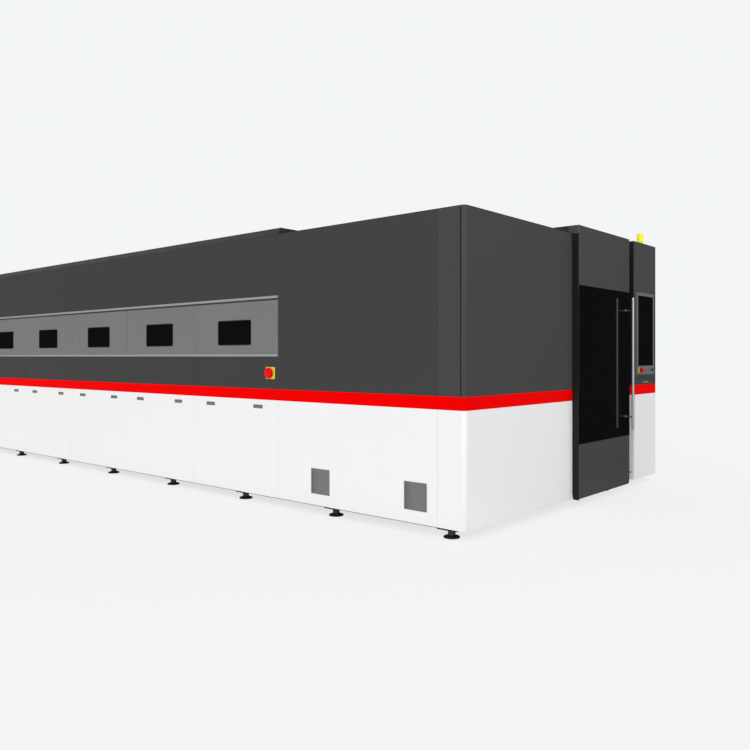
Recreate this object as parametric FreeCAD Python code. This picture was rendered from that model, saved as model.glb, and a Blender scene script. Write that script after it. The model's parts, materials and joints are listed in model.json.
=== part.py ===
import FreeCAD, Part

import math
import os

from FreeCAD import Placement, Rotation, Vector

# Enclosed fiber laser cutting machine. Millimetres, +Z up, floor at z = 0.
#
# Every size below is measured from three faces of the enclosure:
#   t  back from the end face, where the operator's door and console are
#   s  in from the long side that has the windows
#   z  up from the floor
# The frame's origin is the middle of the whole object's base, with +X towards the end face
# and -Y towards the windowed side.

# ---- whole enclosure
FRONT_BLOCK = 1928.0  # closed equipment block and operator's aisle
MODULE = 1200.0  # one bay of the cutting hall
MODULES = 6
REAR_BLOCK = 348.0
WIDTH = 3515.0
FRONT_ROOF_TOP = 2334.0
HOOD_RISE = 66.0  # above the front roof
MAIN_ROOF_RISE = 58.0
CONSOLE_RISE = 88.0
ROOF_SLOPE_IN = 34.0  # how far the main roof's edge leans in
CORNER_R = 35.0
COVER_WRAP = 235.0  # how far the end cover runs round onto the long side

# ---- colour fields, bottom to top
PANEL_BOTTOM = 65.0
STRIPE_BOTTOM = 903.0
STRIPE_TOP = 999.0
BAND_BOTTOM = 1281.0
BAND_TOP = 1806.0
TRIM_H = 21.0
SHADOW_GAP = 13.0

# ---- sheet metal
SHEET = 2.0
PANEL_DEPTH = 25.0
SEAM = 3.0
BAND_RECESS = 6.0
ROOF_SHEET = 4.0

# ---- windows, finger pulls and vents of the long side
WINDOW_W = 478.0
WINDOW_H = 229.0
WINDOW_BOTTOM = 1382.0
WINDOW_R = 20.0
PANE_LAP = 15.0
PANE_T = 5.0
PULL_W = 126.0
PULL_H = 33.0
PULL_DEPTH = 22.0
PULL_LIP = 3.0
PULL_WALL = 2.0
PULL_DROP = 45.0  # below the cover's top edge
PULL_OFFSET = 340.0  # from the middle of a module's cover
VENT_W = 211.0
VENT_H = 208.0
VENT_BOTTOM = 158.0
VENT_STARTS = (329.0, 1307.0)
VENT_LIP = 3.0
VENT_BORDER = 9.0
VENT_SLOTS = 12
FIT = 0.3  # clearance of a running or loose fit

# ---- base frame and feet
BASE_BOTTOM = 58.0
TUBE_H = 80.0
TUBE_W = 60.0
TUBE_WALL = 4.0
FLOOR_T = 4.0
FOOT_START = 142.0  # middle of the windowed side's first foot
FOOT_PITCH = 1131.0
FOOT_BAYS = 8
FOOT_S = 43.0
FAR_FOOT_START = 400.0  # the far row begins further back, behind the console's base
FAR_FOOT_INSET = 70.0
PAD_R = 59.0
PAD_T = 13.0
PAD_SIDES = 12
STEM_R = 28.0
STEM_SIDES = 6
BRACKET_T = 8.0
BRACKET_SETBACK = 15.0  # behind the long side
BRACKET_FRONT = 55.0  # from the foot's middle towards the end face
BRACKET_BACK = 110.0
BRACKET_REACH = 100.0  # past the middle of the foot

# ---- enclosure frame
POST = 60.0
RAIL_DEPTH = 40.0
ROOF_BARS = 1  # for each module
BLOCK_BARS = 4  # over the closed block
AISLE_BARS = 2

# ---- end face: cover, sliding door and console
CONSOLE_W = 565.0
DOOR_W = 1079.0
DOOR_TO_CONSOLE = 247.5
DOOR_TO_COVER = 3.5
DOOR_GAP = 8.5  # behind the leaf
DOOR_T = 50.0
DOOR_R = 12.0
DOOR_CORNER_R = 30.0
LEAF_RETURN_GAP = 2.0  # from the leaf's folded top to the hood and to the front roof
JAMB_W = 300.0
DOOR_GLASS_BOTTOM = 532.0
DOOR_GLASS_TOP = 1891.0
DOOR_GLASS_T = 6.0
GLASS_EDGE_SHARE = 0.9  # of the glass's thickness that the round of its edges takes
HANDLE_D = 25.0
HANDLE_FIXINGS = 1000.0  # from one standoff to the other
HANDLE_OVERHANG = 118.5  # of the bar past each standoff
HANDLE_BOTTOM = 595.0
HANDLE_INSET = 101.5  # bar's axis, from the leaf's right edge
HANDLE_STANDOFF = 73.0
STANDOFF_D = 18.0
ROSETTE_D = 44.0
ROSETTE_T = 6.0
DOOR_GUIDE_AT = 640.0
DOOR_GUIDE_W = 60.0
DOOR_GUIDE_H = 10.0
HOOD_SETBACK = 40.0
TRACK_DROP = 33.0  # below the hood's top
TRACK_NECK_H = 12.0
TRACK_NECK_DEPTH = 14.5
TRACK_HEAD_H = 24.0
TRACK_HEAD_DEPTH = 12.0
TRACK_BLOCK_W = 90.0
TRACK_BLOCK_H = 50.0
TRACK_BLOCKS = 2
TRACK_BLOCK_GAP = 20.0
JAMB_SETBACK = 60.0

CONSOLE_DEPTH = 600.0
CONSOLE_SHEET = 3.0
CONSOLE_POST = 40.0
BEZEL_LEFT = 59.0  # from the console's left edge
BEZEL_W = 441.0
BEZEL_BOTTOM = 1101.0
BEZEL_H = 820.0
BEZEL_T = 8.0
SCREEN_LEFT_EDGE = 28.0  # width of the bezel beside, over and under the screen
SCREEN_RIGHT_EDGE = 20.0
SCREEN_TOP_EDGE = 31.0
CONTROL_ROW_H = 87.0
SCREEN_RECESS = 2.0
CONTROL_RISE = 45.0  # the controls' middles above the bezel's bottom
CONSOLE_STOP_INSET = 63.0  # from the bezel's left edge
KEY_INSET = 58.0  # from the bezel's right edge
CONTROL_PITCH = 80.0  # from the key to the start button to the reset button
CONTROL_CUTOUT = 25.0  # of the cabinet's cut-out behind the controls, past their middles
DRAWER_FRONT_H = 66.0
DRAWER_GAP = 4.0
DRAWER_SIDE_GAP = 1.0
DRAWER_REVEAL = 1.0  # below the drawer's front
DRAWER_FRONT_T = 18.0
DRAWER_DEPTH = 400.0
DRAWER_WALL = 2.0
TRAY_RISE = 3.0  # of the drawer's tray above the front's bottom edge
TRAY_DROP = 6.0
RUNNER_W = 7.0
RUNNER_H = 30.0
DRAWER_PULL_W = 100.0
DRAWER_PULL_DEPTH = 12.0
DRAWER_PULL_LOW = 16.0
DRAWER_PULL_H = 14.0
KEYBOARD_SETBACK = 60.0  # behind the drawer's front
KEYBOARD_DEPTH = 140.0
KEYBOARD_T = 16.0
KEYBOARD_GAP = 25.0  # at each end of the keyboard
KEY_ROWS = 4
KEY_ROW_MARGIN = 9.0
KEY_ROW_GAP = 4.0
KEY_CAP_H = 6.0
CONSOLE_STOP_R = 22.0
CONSOLE_STOP_HEIGHT = 34.0
CONSOLE_STOP_TRAVEL = 5.0
STOP_NECK_R = 11.0
NECK_SIDES = 8  # flats that keep a stop button's neck from turning
STOP_SHOULDER = 4.0  # left under a stop button's head when it is pressed
DOME_SHARE = 0.3  # of the head's radius that its dome takes
NECK_BACK = 20.0  # of a button's neck, behind the face that it goes through
BUTTON_R = 11.0
BUTTON_H = 6.0
KEY_NECK_R = 8.0
KEY_BARREL_R = 12.0
KEY_BARREL_H = 6.0
KEY_GRIP_W = 20.0
KEY_GRIP_T = 6.0
KEY_GRIP_REACH = 16.0
BEACON_INSET = 265.0  # from the console's left edge
BEACON_T = 45.0
BEACON_R = 30.0
BEACON_H = 108.0

# ---- side stop button
STOP_FROM_SEAM = 94.0
STOP_Z = 1138.0
STOP_PLATE = 114.0
STOP_PLATE_R = 12.0
STOP_PLATE_T = 4.0
STOP_HEAD_R = 44.0
STOP_HEIGHT = 36.0
STOP_TRAVEL = 6.0

# ---- cutting bed, gantry and head
RAIL_SPACING = 2405.0
BED_SETBACK = 122.0  # behind the closed block
BED_TOP = 880.0
BED_W = 200.0
BED_WALL = 12.0
BED_END_GAP = 60.0  # from the bed to the rear covers
RAIL_W = 34.0
RAIL_H = 29.0
RAIL_INSET = 30.0
MAGNET_W = 46.0
MAGNET_T = 8.0
GANTRY_SETBACK = 320.0  # from the bed's front end
GANTRY_W = 260.0
GANTRY_H = 320.0
GANTRY_WALL = 10.0
GANTRY_OVERHANG = 155.0  # past each rail's middle
SADDLE_L = 500.0
SADDLE_W = 260.0
SADDLE_T = 30.0
BEARING_W = 100.0
BEARING_H = 40.0
BEARING_L = 130.0
BEARING_INSET = 20.0  # from the saddle's ends
BEARING_LIFT = 6.0  # above the rail's foot
COIL_INSET = 60.0
COIL_OVERHANG = 12.0
AIR_GAP = 1.0  # between a coil unit and its magnets
CROSS_RAIL_W = 24.0
CROSS_RAIL_H = 22.0
CROSS_RAIL_INSET = 60.0  # from the beam's top and bottom
CROSS_BEARING_H = 32.0
CROSS_BEARING_W = 64.0
CARRIAGE_W = 260.0
CARRIAGE_T = 20.0
CARRIAGE_EDGE = 5.0  # of the plate round its bearing blocks
CARRIAGE_TRAVEL = 1915.0
HEAD_TRAVEL = 120.0
NOZZLE_GAP = 2.0  # nozzle tip above the slats when it is down
HEAD_RAIL_W = 20.0
HEAD_RAIL_H = 15.0
HEAD_RAIL_SPACING = 110.0
HEAD_PLATE_T = 15.0
HEAD_PLATE_EDGE = 15.0  # past the rails
HEAD_PLATE_Z = (130.0, 340.0)  # this and the next heights are above the nozzle's tip
HEAD_BODY = 90.0
HEAD_BODY_Z = (90.0, 290.0)
HEAD_BODY_R = 10.0
HEAD_BARREL_R = 27.0
HEAD_BARREL_TOP = 440.0
NOZZLE_R = 3.0
NOZZLE_H = 36.0

# ---- pallet, its tracks and the slag trough
PALLET_SIDE_GAP = 50.0  # from the bed beams
PALLET_L = 6200.0
PALLET_BOTTOM = 640.0
PALLET_SIDE_W = 60.0
PALLET_SIDE_H = 120.0
PALLET_CROSS_H = 60.0
PALLET_CROSSES = 8
SLAT_H = 120.0
SLAT_T = 4.0
SLAT_PITCH = 200.0
SLAT_TEETH = 8
TOOTH_H = 28.0
SHIELD_T = 20.0
SLOT_DROP = 40.0  # below the pallet
SLOT_MARGIN = 65.0  # beside the pallet
SHIELD_GAP = 6.0
TRACK_T = 12.0
TRACK_LEG = 80.0
CHUTE_GAP = 80.0  # below the tracks
CHUTE_T = 4.0
TRAY_W = 815.0
TRAY_H = 162.0
TRAY_WALL = 4.0

# ---- equipment inside the closed block
CABINET_WALL = 3.0
LASER_SOURCE_SIZE = (640.0, 750.0, 1150.0)  # length, width, height
LASER_SOURCE_SETBACK = 350.0
ELECTRICS_SIZE = (600.0, 1100.0, 1850.0)
ELECTRICS_GAP = 78.0  # from the closed block's back

# ---- worked out from the sizes above
LENGTH = FRONT_BLOCK + MODULES * MODULE + REAR_BLOCK
HALL_END = LENGTH - REAR_BLOCK
HOOD_TOP = FRONT_ROOF_TOP + HOOD_RISE
MAIN_ROOF_TOP = FRONT_ROOF_TOP + MAIN_ROOF_RISE
CONSOLE_TOP = FRONT_ROOF_TOP + CONSOLE_RISE
TRACK_Z = HOOD_TOP - TRACK_DROP
PULL_BOTTOM = STRIPE_BOTTOM - PULL_DROP - PULL_H
CONSOLE_S = WIDTH - CONSOLE_W
DOORWAY_RIGHT = CONSOLE_S - JAMB_W
DOOR_S = CONSOLE_S - DOOR_TO_CONSOLE - DOOR_W
END_COVER_S = DOOR_S - DOOR_TO_COVER
HANDLE_LENGTH = HANDLE_FIXINGS + 2 * HANDLE_OVERHANG
STANDOFF_HEIGHTS = [HANDLE_BOTTOM + HANDLE_OVERHANG + rise for rise in (0, HANDLE_FIXINGS)]
BEZEL_S = (CONSOLE_S + BEZEL_LEFT, CONSOLE_S + BEZEL_LEFT + BEZEL_W)
BEZEL_Z = (BEZEL_BOTTOM, BEZEL_BOTTOM + BEZEL_H)
SCREEN_S = (BEZEL_S[0] + SCREEN_LEFT_EDGE, BEZEL_S[1] - SCREEN_RIGHT_EDGE)
SCREEN_Z = (BEZEL_Z[0] + CONTROL_ROW_H, BEZEL_Z[1] - SCREEN_TOP_EDGE)
CONTROL_Z = BEZEL_BOTTOM + CONTROL_RISE
CONSOLE_STOP_S = BEZEL_S[0] + CONSOLE_STOP_INSET
KEY_S = BEZEL_S[1] - KEY_INSET
START_S = KEY_S - CONTROL_PITCH
RESET_S = START_S - CONTROL_PITCH
BEACON_S = CONSOLE_S + BEACON_INSET
RUNNER_LEFT = CONSOLE_S + CONSOLE_SHEET + CONSOLE_POST
RUNNER_RIGHT = WIDTH - PANEL_DEPTH - CONSOLE_POST
DRAWER_TRAY_S = (RUNNER_LEFT + RUNNER_W + FIT, RUNNER_RIGHT - RUNNER_W - FIT)
DRAWER_Z = (STRIPE_TOP + DRAWER_REVEAL, STRIPE_TOP + DRAWER_FRONT_H)
DRAWER_TRAY_Z = (DRAWER_Z[0] + TRAY_RISE, DRAWER_Z[1] - TRAY_DROP)
STOP_T = FRONT_BLOCK + STOP_FROM_SEAM
BED_FRONT = FRONT_BLOCK + BED_SETBACK
GANTRY_T = BED_FRONT + GANTRY_SETBACK
PALLET_W = RAIL_SPACING - BED_W - 2 * PALLET_SIDE_GAP
SLOT_BOTTOM = PALLET_BOTTOM - SLOT_DROP
CHUTE_TOP = PALLET_BOTTOM - TRACK_LEG - CHUTE_GAP
HANDLE_REACH = DOOR_GAP + DOOR_T + HANDLE_STANDOFF + HANDLE_D / 2
STOP_REACH = STOP_PLATE_T + STOP_HEIGHT
X_END = (LENGTH - HANDLE_REACH) / 2
Y_SIDE = (STOP_REACH - WIDTH) / 2
BASE_TOP = BASE_BOTTOM + TUBE_H
FLOOR_TOP = BASE_TOP + FLOOR_T
ROOF_SEAT = FRONT_ROOF_TOP - ROOF_SHEET
MIDDLE = WIDTH / 2
CARRIAGE_S = MIDDLE - CARRIAGE_TRAVEL / 2
SEAMS = [FRONT_BLOCK + i * MODULE for i in range(MODULES + 1)]

TO_END = Vector(1, 0, 0)
TO_REAR = Vector(-1, 0, 0)
TO_NEAR = Vector(0, -1, 0)
UP = Vector(0, 0, 1)
SIDES = {"rear": "t+", "end": "t-", "far": "s+", "near": "s-", "up": "z+", "down": "z-"}


# ---- basic shapes


def at(t, s, z):
    """A point of the frame from its three distances."""
    return Vector(X_END - t, Y_SIDE + s, z)


def block(t, s, z):
    """A box between pairs of distances."""
    size = [high - low for low, high in (t, s, z)]
    return Part.makeBox(*size, at(t[1], s[0], z[0]))


def grown(ranges, amount, skip=()):
    """The ranges, longer by the amount at both ends, apart from the axes in skip."""
    return [
        (low, high) if axis in skip else (low - amount, high + amount)
        for axis, (low, high) in enumerate(ranges)
    ]


def tube(t, s, z, wall=TUBE_WALL):
    """A rectangular tube, open at the ends of its longest side."""
    ranges = [t, s, z]
    spans = [high - low for low, high in ranges]
    run = spans.index(max(spans))
    bore = grown(ranges, -wall, skip=(run,))
    return block(t, s, z).cut(block(*bore))


def pan(t, s, z, open_to, sheet=SHEET):
    """A sheet folded into a shallow pan that is open to one side."""
    pocket = grown([t, s, z], -sheet)
    letter, way = SIDES[open_to]
    axis = "tsz".index(letter)
    low, high = pocket[axis]
    pocket[axis] = (low, high + 2 * sheet) if way == "+" else (low - 2 * sheet, high)
    return block(t, s, z).cut(block(*pocket))


def prism(points, lift):
    """A solid swept from a closed outline along one vector."""
    return Part.Face(Part.makePolygon(points + points[:1])).extrude(lift)


def section(points, t):
    """An outline of (s, z) points, run along the machine."""
    return prism([at(t[0], s, z) for s, z in points], TO_REAR * (t[1] - t[0]))


def rounded(solid, direction, radius, keep=None):
    """The solid with its edges along one direction rounded, or those that keep accepts."""
    edges = [
        edge
        for edge in solid.Edges
        if abs(abs(edge.tangentAt(edge.FirstParameter).dot(direction)) - 1) < 1e-6
        and (keep is None or keep(edge.CenterOfMass))
    ]
    return solid.makeFillet(radius, edges)


def turned(profile, place, direction):
    """A turned piece, from the (radius, height) points of its half section about its axis."""
    points = [Vector(r, 0, h) for r, h in profile]
    solid = Part.Face(Part.makePolygon(points + points[:1])).revolve(Vector(), UP, 360)
    solid.Placement = Placement(place, Rotation(UP, direction))
    return solid


def rod(radius, length, place, direction):
    return Part.makeCylinder(radius, length, place, direction)


def many_sided(radius, sides, length, place, direction):
    """A bar with equal flat sides, and its corners at the radius."""
    angles = [math.tau * i / sides for i in range(sides)]
    corners = [Vector(radius * math.cos(a), radius * math.sin(a), 0) for a in angles]
    solid = Part.Face(Part.makePolygon(corners + corners[:1])).extrude(UP * length)
    solid.Placement = Placement(place, Rotation(UP, direction))
    return solid


def save(name, *solids):
    shape = solids[0] if len(solids) == 1 else Part.makeCompound(list(solids))
    shape.exportStep(f"parts/{name}.step")


# ---- panels of the long sides


def side_panel(far, t, z, recess=0.0):
    """A panel of one long side, with its open back to the frame."""
    if far:
        return pan(t, (WIDTH - PANEL_DEPTH, WIDTH - recess), z, "near")
    return pan(t, (recess, PANEL_DEPTH), z, "far")


def bays(first=0, last=MODULES):
    """The stretch of each module's panels, with half a seam left at both ends."""
    return [(SEAMS[i] + SEAM / 2, SEAMS[i + 1] - SEAM / 2) for i in range(first, last)]


def window_hole(t):
    """The window's rounded outline in one module."""
    middle = sum(t) / 2
    half = WINDOW_W / 2
    height = (WINDOW_BOTTOM, WINDOW_BOTTOM + WINDOW_H)
    outline = block((middle - half, middle + half), (0, PANEL_DEPTH), height)
    return rounded(outline, TO_NEAR, WINDOW_R)


def band_panel(t):
    skin = side_panel(False, t, (BAND_BOTTOM + TRIM_H, BAND_TOP - TRIM_H), BAND_RECESS)
    return skin.cut(window_hole(t))


def window_pane(t):
    inside = BAND_RECESS + SHEET
    middle = sum(t) / 2
    half = WINDOW_W / 2 + PANE_LAP
    height = (WINDOW_BOTTOM - PANE_LAP, WINDOW_BOTTOM + WINDOW_H + PANE_LAP)
    return block((middle - half, middle + half), (inside, inside + PANE_T), height)


def pull_places(t):
    middle = sum(t) / 2
    return [middle - PULL_OFFSET, middle + PULL_OFFSET]


def pull_block(place, shrink, s):
    """The finger pull's outline at one place, smaller by shrink all round."""
    return block(
        (place - PULL_W / 2 + shrink, place + PULL_W / 2 - shrink),
        s,
        (PULL_BOTTOM + shrink, PULL_BOTTOM + PULL_H - shrink),
    )


def lower_cover(t):
    cover = side_panel(False, t, (PANEL_BOTTOM, STRIPE_BOTTOM))
    for place in pull_places(t):
        cover = cover.cut(pull_block(place, PULL_LIP, (-1, PANEL_DEPTH)))
    return cover


def finger_pull(place):
    lip = pull_block(place, 0, (-SHEET / 2, 0))
    cup = pull_block(place, PULL_LIP + FIT, (-SHEET / 2, PULL_DEPTH))
    well = pull_block(place, PULL_LIP + FIT + PULL_WALL, (-SHEET, PULL_DEPTH - PULL_WALL))
    return lip.fuse(cup).cut(well)


def vent_block(start, shrink, s):
    return block(
        (start + shrink, start + VENT_W - shrink),
        s,
        (VENT_BOTTOM + shrink, VENT_BOTTOM + VENT_H - shrink),
    )


def vent_grille(start):
    """A pressed grille: a lipped plate with level slots under small hoods."""
    plate = vent_block(start, 0, (-SHEET, 0))
    plate = plate.fuse(vent_block(start, VENT_LIP + FIT, (-SHEET, PANEL_DEPTH / 2)))
    plate = plate.cut(vent_block(start, VENT_BORDER, (0, PANEL_DEPTH)))
    pitch = (VENT_H - 2 * VENT_BORDER) / VENT_SLOTS
    for i in range(VENT_SLOTS):
        low = VENT_BOTTOM + VENT_BORDER + (i + 0.25) * pitch
        slot = block(
            (start + 2 * VENT_BORDER, start + VENT_W - 2 * VENT_BORDER),
            (-2 * SHEET, SHEET),
            (low, low + pitch / 2),
        )
        plate = plate.cut(slot)
    return plate


# ---- covers that run round a corner


def corner_cover(t_wrap, s_end, z, at_rear=False, at_far=False):
    """A folded cover with a rounded upright corner, t_wrap along the long side and s_end across."""

    def ranges(inset):
        t = (inset, t_wrap - inset)
        s = (inset, s_end - inset)
        if at_rear:
            t = (LENGTH - t[1], LENGTH - t[0])
        if at_far:
            s = (WIDTH - s[1], WIDTH - s[0])
        return t, s

    corner = at(LENGTH if at_rear else 0, WIDTH if at_far else 0, 0)

    def near_corner(point):
        return abs(point.x - corner.x) < 2 * CORNER_R and abs(point.y - corner.y) < 2 * CORNER_R

    outer = rounded(block(*ranges(0), z), UP, CORNER_R, near_corner)
    core = block(*ranges(SHEET), (z[0] + SHEET, z[1] - SHEET))
    core = rounded(core, UP, CORNER_R - SHEET, near_corner)
    t, s = ranges(PANEL_DEPTH)
    step = 2 * PANEL_DEPTH
    t = (t[0] - step, t[1]) if at_rear else (t[0], t[1] + step)
    s = (s[0] - step, s[1]) if at_far else (s[0], s[1] + step)
    return outer.cut(core).cut(block(t, s, (z[0] - 1, z[1] + 1)))


def end_cover(z):
    return corner_cover(COVER_WRAP - SEAM / 2, END_COVER_S, z)


def slot_side():
    """How far in from the long sides the pallet's slot begins."""
    return MIDDLE - PALLET_W / 2 - SLOT_MARGIN


def rear_corners(z):
    wrap = REAR_BLOCK - SEAM / 2
    return [corner_cover(wrap, slot_side(), z, at_rear=True, at_far=far) for far in (False, True)]


def rear_middle(z):
    return pan((LENGTH - PANEL_DEPTH, LENGTH), (slot_side(), WIDTH - slot_side()), z, "end")


# ---- base


def foot_places():
    near = [(FOOT_START + i * FOOT_PITCH, FOOT_S) for i in range(FOOT_BAYS + 1)]
    far = [(max(t, FAR_FOOT_START), WIDTH - FAR_FOOT_INSET) for t, _ in near]
    return near + far


def levelling_foot(t, s):
    """A moulded pad, and the hexagonal stem that is turned to level the machine."""
    pad = many_sided(PAD_R, PAD_SIDES, PAD_T, at(t, s, 0), UP)
    stem_top = BASE_BOTTOM - BRACKET_T
    return pad.fuse(many_sided(STEM_R, STEM_SIDES, stem_top - PAD_T, at(t, s, PAD_T), UP))


def foot_bracket(t, s):
    """The plate between a foot and the base frame, longer towards the rear."""
    near = s < MIDDLE
    reach = (BRACKET_SETBACK, s + BRACKET_REACH) if near else (s - BRACKET_REACH, WIDTH - BRACKET_SETBACK)
    return block((t - BRACKET_FRONT, t + BRACKET_BACK), reach, (BASE_BOTTOM - BRACKET_T, BASE_BOTTOM))


def side_strips():
    """The strip of each long side that its frame tubes fill, behind the panels."""
    return [(PANEL_DEPTH, PANEL_DEPTH + POST), (WIDTH - PANEL_DEPTH - POST, WIDTH - PANEL_DEPTH)]


def base_frame():
    z = (BASE_BOTTOM, BASE_TOP)
    near, far = side_strips()
    starts = ((PANEL_DEPTH, near), (JAMB_SETBACK, far))
    long_tubes = [tube((start, LENGTH - PANEL_DEPTH), strip, z) for start, strip in starts]
    cross_tubes = []
    for i in range(2 * FOOT_BAYS + 1):
        t = FOOT_START + i * FOOT_PITCH / 2
        cross_tubes.append(tube((t - TUBE_W / 2, t + TUBE_W / 2), (near[1], far[0]), z))
    return long_tubes + cross_tubes


def floor_plates():
    z = (BASE_TOP, FLOOR_TOP)
    back = FRONT_BLOCK + POST / 2
    near, far = side_strips()
    return [
        block((PANEL_DEPTH, back), (near[1], CONSOLE_S), z),
        block((JAMB_SETBACK, back), (CONSOLE_S, far[0]), z),
    ]


# ---- enclosure frame


def post(t_middle, s, z=None):
    return tube((t_middle - POST / 2, t_middle + POST / 2), s, z or (BASE_TOP, ROOF_SEAT - POST))


def enclosure_frame():
    near, far = side_strips()
    inner = (END_COVER_S - POST, END_COVER_S)
    top = (ROOF_SEAT - POST, ROOF_SEAT)
    corner = PANEL_DEPTH + POST / 2
    rear = LENGTH - corner
    console_back = CONSOLE_DEPTH + POST / 2
    first = FRONT_BLOCK - POST / 2
    pieces = [post(t, near) for t in [corner, COVER_WRAP] + SEAMS + [rear]]
    pieces += [post(t, far) for t in [console_back] + SEAMS + [rear]]
    pieces += [post(t, inner, (FLOOR_TOP, top[0])) for t in (corner, FRONT_BLOCK)]
    jamb_back = JAMB_SETBACK + PANEL_DEPTH + POST / 2
    jamb = (DOORWAY_RIGHT, DOORWAY_RIGHT + POST)
    pieces.append(post(jamb_back, jamb, (FLOOR_TOP, ROOF_SEAT)))
    console_posts = (
        (CONSOLE_S + CONSOLE_SHEET, BASE_TOP + FLOOR_T),
        (WIDTH - PANEL_DEPTH - CONSOLE_POST, BASE_TOP),
    )
    for s, bottom in console_posts:
        t = (JAMB_SETBACK, JAMB_SETBACK + CONSOLE_POST)
        pieces.append(tube(t, (s, s + CONSOLE_POST), (bottom, CONSOLE_TOP - CONSOLE_SHEET)))
    # long tubes under the roofs
    pieces.append(tube((PANEL_DEPTH, LENGTH - PANEL_DEPTH), near, top))
    pieces.append(tube((CONSOLE_DEPTH, LENGTH - PANEL_DEPTH), far, top))
    pieces.append(tube((PANEL_DEPTH, first), inner, top))
    # cross bars under the roofs
    pitch = MODULE / ROOF_BARS
    for i in range(MODULES * ROOF_BARS + 1):
        pieces.append(post(FRONT_BLOCK + i * pitch, (near[1], far[0]), top))
    pieces.append(post(rear, (near[1], far[0]), top))
    bar_pitch = (FRONT_BLOCK - PANEL_DEPTH) / BLOCK_BARS
    bar_middles = [corner + i * bar_pitch for i in range(BLOCK_BARS)]
    pieces += [post(t, (near[1], inner[0]), top) for t in bar_middles]
    pieces += [post(t, (inner[1], far[0]), top) for t in bar_middles[-AISLE_BARS:]]
    # long rails on the inner faces of the hall's posts, behind the panels' level seams
    for middle in ((STRIPE_BOTTOM + STRIPE_TOP) / 2, BAND_BOTTOM + TRIM_H / 2, BAND_TOP - TRIM_H / 2):
        z = (middle - RAIL_DEPTH / 2, middle + RAIL_DEPTH / 2)
        for s in ((near[1], near[1] + RAIL_DEPTH), (far[0] - RAIL_DEPTH, far[0])):
            pieces.append(tube((FRONT_BLOCK + POST / 2, LENGTH - PANEL_DEPTH), s, z))
    return pieces


def inner_walls():
    """Walls round the closed block, and the recessed jamb between the door and the console."""
    near = side_strips()[0]
    z = (FLOOR_TOP, ROOF_SEAT - POST)
    jamb_t = (JAMB_SETBACK, JAMB_SETBACK + PANEL_DEPTH)
    wall_s = (END_COVER_S - PANEL_DEPTH, END_COVER_S)
    return [
        pan((PANEL_DEPTH + POST, FRONT_BLOCK - POST / 2), wall_s, z, "near"),
        pan((FRONT_BLOCK, FRONT_BLOCK + POST / 2), (near[1], END_COVER_S - POST), z, "end"),
        pan(jamb_t, (DOORWAY_RIGHT, CONSOLE_S), (FLOOR_TOP, ROOF_SEAT), "rear"),
    ]


# ---- roofs


def front_roof():
    sheet = block((0, FRONT_BLOCK), (0, END_COVER_S), (ROOF_SEAT, FRONT_ROOF_TOP))
    corner = at(0, 0, 0)
    return rounded(sheet, UP, CORNER_R, lambda p: (p - Vector(corner.x, corner.y, p.z)).Length < CORNER_R)


def main_roof():
    t = (FRONT_BLOCK, LENGTH)

    def outline(inset):
        top = MAIN_ROOF_TOP - inset
        bottom = ROOF_SEAT - (1 if inset else 0)
        return [
            (inset, bottom),
            (inset, FRONT_ROOF_TOP),
            (ROOF_SLOPE_IN + inset, top),
            (WIDTH - ROOF_SLOPE_IN - inset, top),
            (WIDTH - inset, FRONT_ROOF_TOP),
            (WIDTH - inset, bottom),
        ]

    hollow = section(outline(ROOF_SHEET), (t[0] + ROOF_SHEET, t[1] - ROOF_SHEET))
    return section(outline(0), t).cut(hollow)


def door_hood():
    """The aisle's roof, which leaves the console's corner open."""
    z = (ROOF_SEAT, HOOD_TOP)

    def shape(inset, heights):
        wide = block(
            (CONSOLE_DEPTH + inset, FRONT_BLOCK - inset),
            (END_COVER_S + inset, WIDTH - inset),
            heights,
        )
        narrow = block(
            (HOOD_SETBACK + inset, FRONT_BLOCK - inset),
            (END_COVER_S + inset, CONSOLE_S - inset),
            heights,
        )
        return wide.fuse(narrow).removeSplitter()

    return shape(0, z).cut(shape(SHEET, (z[0] - 1, z[1] - SHEET)))


# ---- sliding door


def door_front():
    return -(DOOR_GAP + DOOR_T)


def door_leaf():
    t = (door_front(), -DOOR_GAP)
    s = (DOOR_S, DOOR_S + DOOR_W)
    outer = block(t, s, (PANEL_BOTTOM, HOOD_TOP))
    front = X_END - door_front()
    outer = rounded(outer, TO_END, DOOR_CORNER_R, lambda p: p.z < PANEL_BOTTOM + 1)
    outer = rounded(outer, UP, DOOR_R, lambda p: abs(p.x - front) < 1)
    back = block(
        (t[0] + DOOR_GLASS_T + SHEET, t[1] + 1),
        (s[0] + DOOR_R, s[1] - DOOR_R),
        (PANEL_BOTTOM + DOOR_R, TRACK_Z - TRACK_BLOCK_H / 2),
    )
    bed = block((t[0] - 1, t[0] + DOOR_GLASS_T), s, (DOOR_GLASS_BOTTOM, DOOR_GLASS_TOP))
    guide_middle = DOOR_S + DOOR_GUIDE_AT
    guide = block(
        (-DOOR_GAP - DOOR_T / 2, -DOOR_GAP - SHEET),
        (guide_middle - DOOR_GUIDE_W / 2, guide_middle + DOOR_GUIDE_W / 2),
        (PANEL_BOTTOM - DOOR_GUIDE_H, PANEL_BOTTOM + DOOR_R / 2),
    )
    return outer.cut(back).cut(bed).fuse(guide).fuse(leaf_return(s))


def leaf_return(s):
    """The leaf's top folded back over its rail, with closed ends that pass above the front roof."""
    t = (-DOOR_GAP, HOOD_SETBACK - LEAF_RETURN_GAP)
    z = (FRONT_ROOF_TOP + LEAF_RETURN_GAP, HOOD_TOP)
    folded = block(t, s, (HOOD_TOP - SHEET, HOOD_TOP))
    for start in (s[0], s[1] - SHEET):
        folded = folded.fuse(block(t, (start, start + SHEET), z))
    return folded


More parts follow.
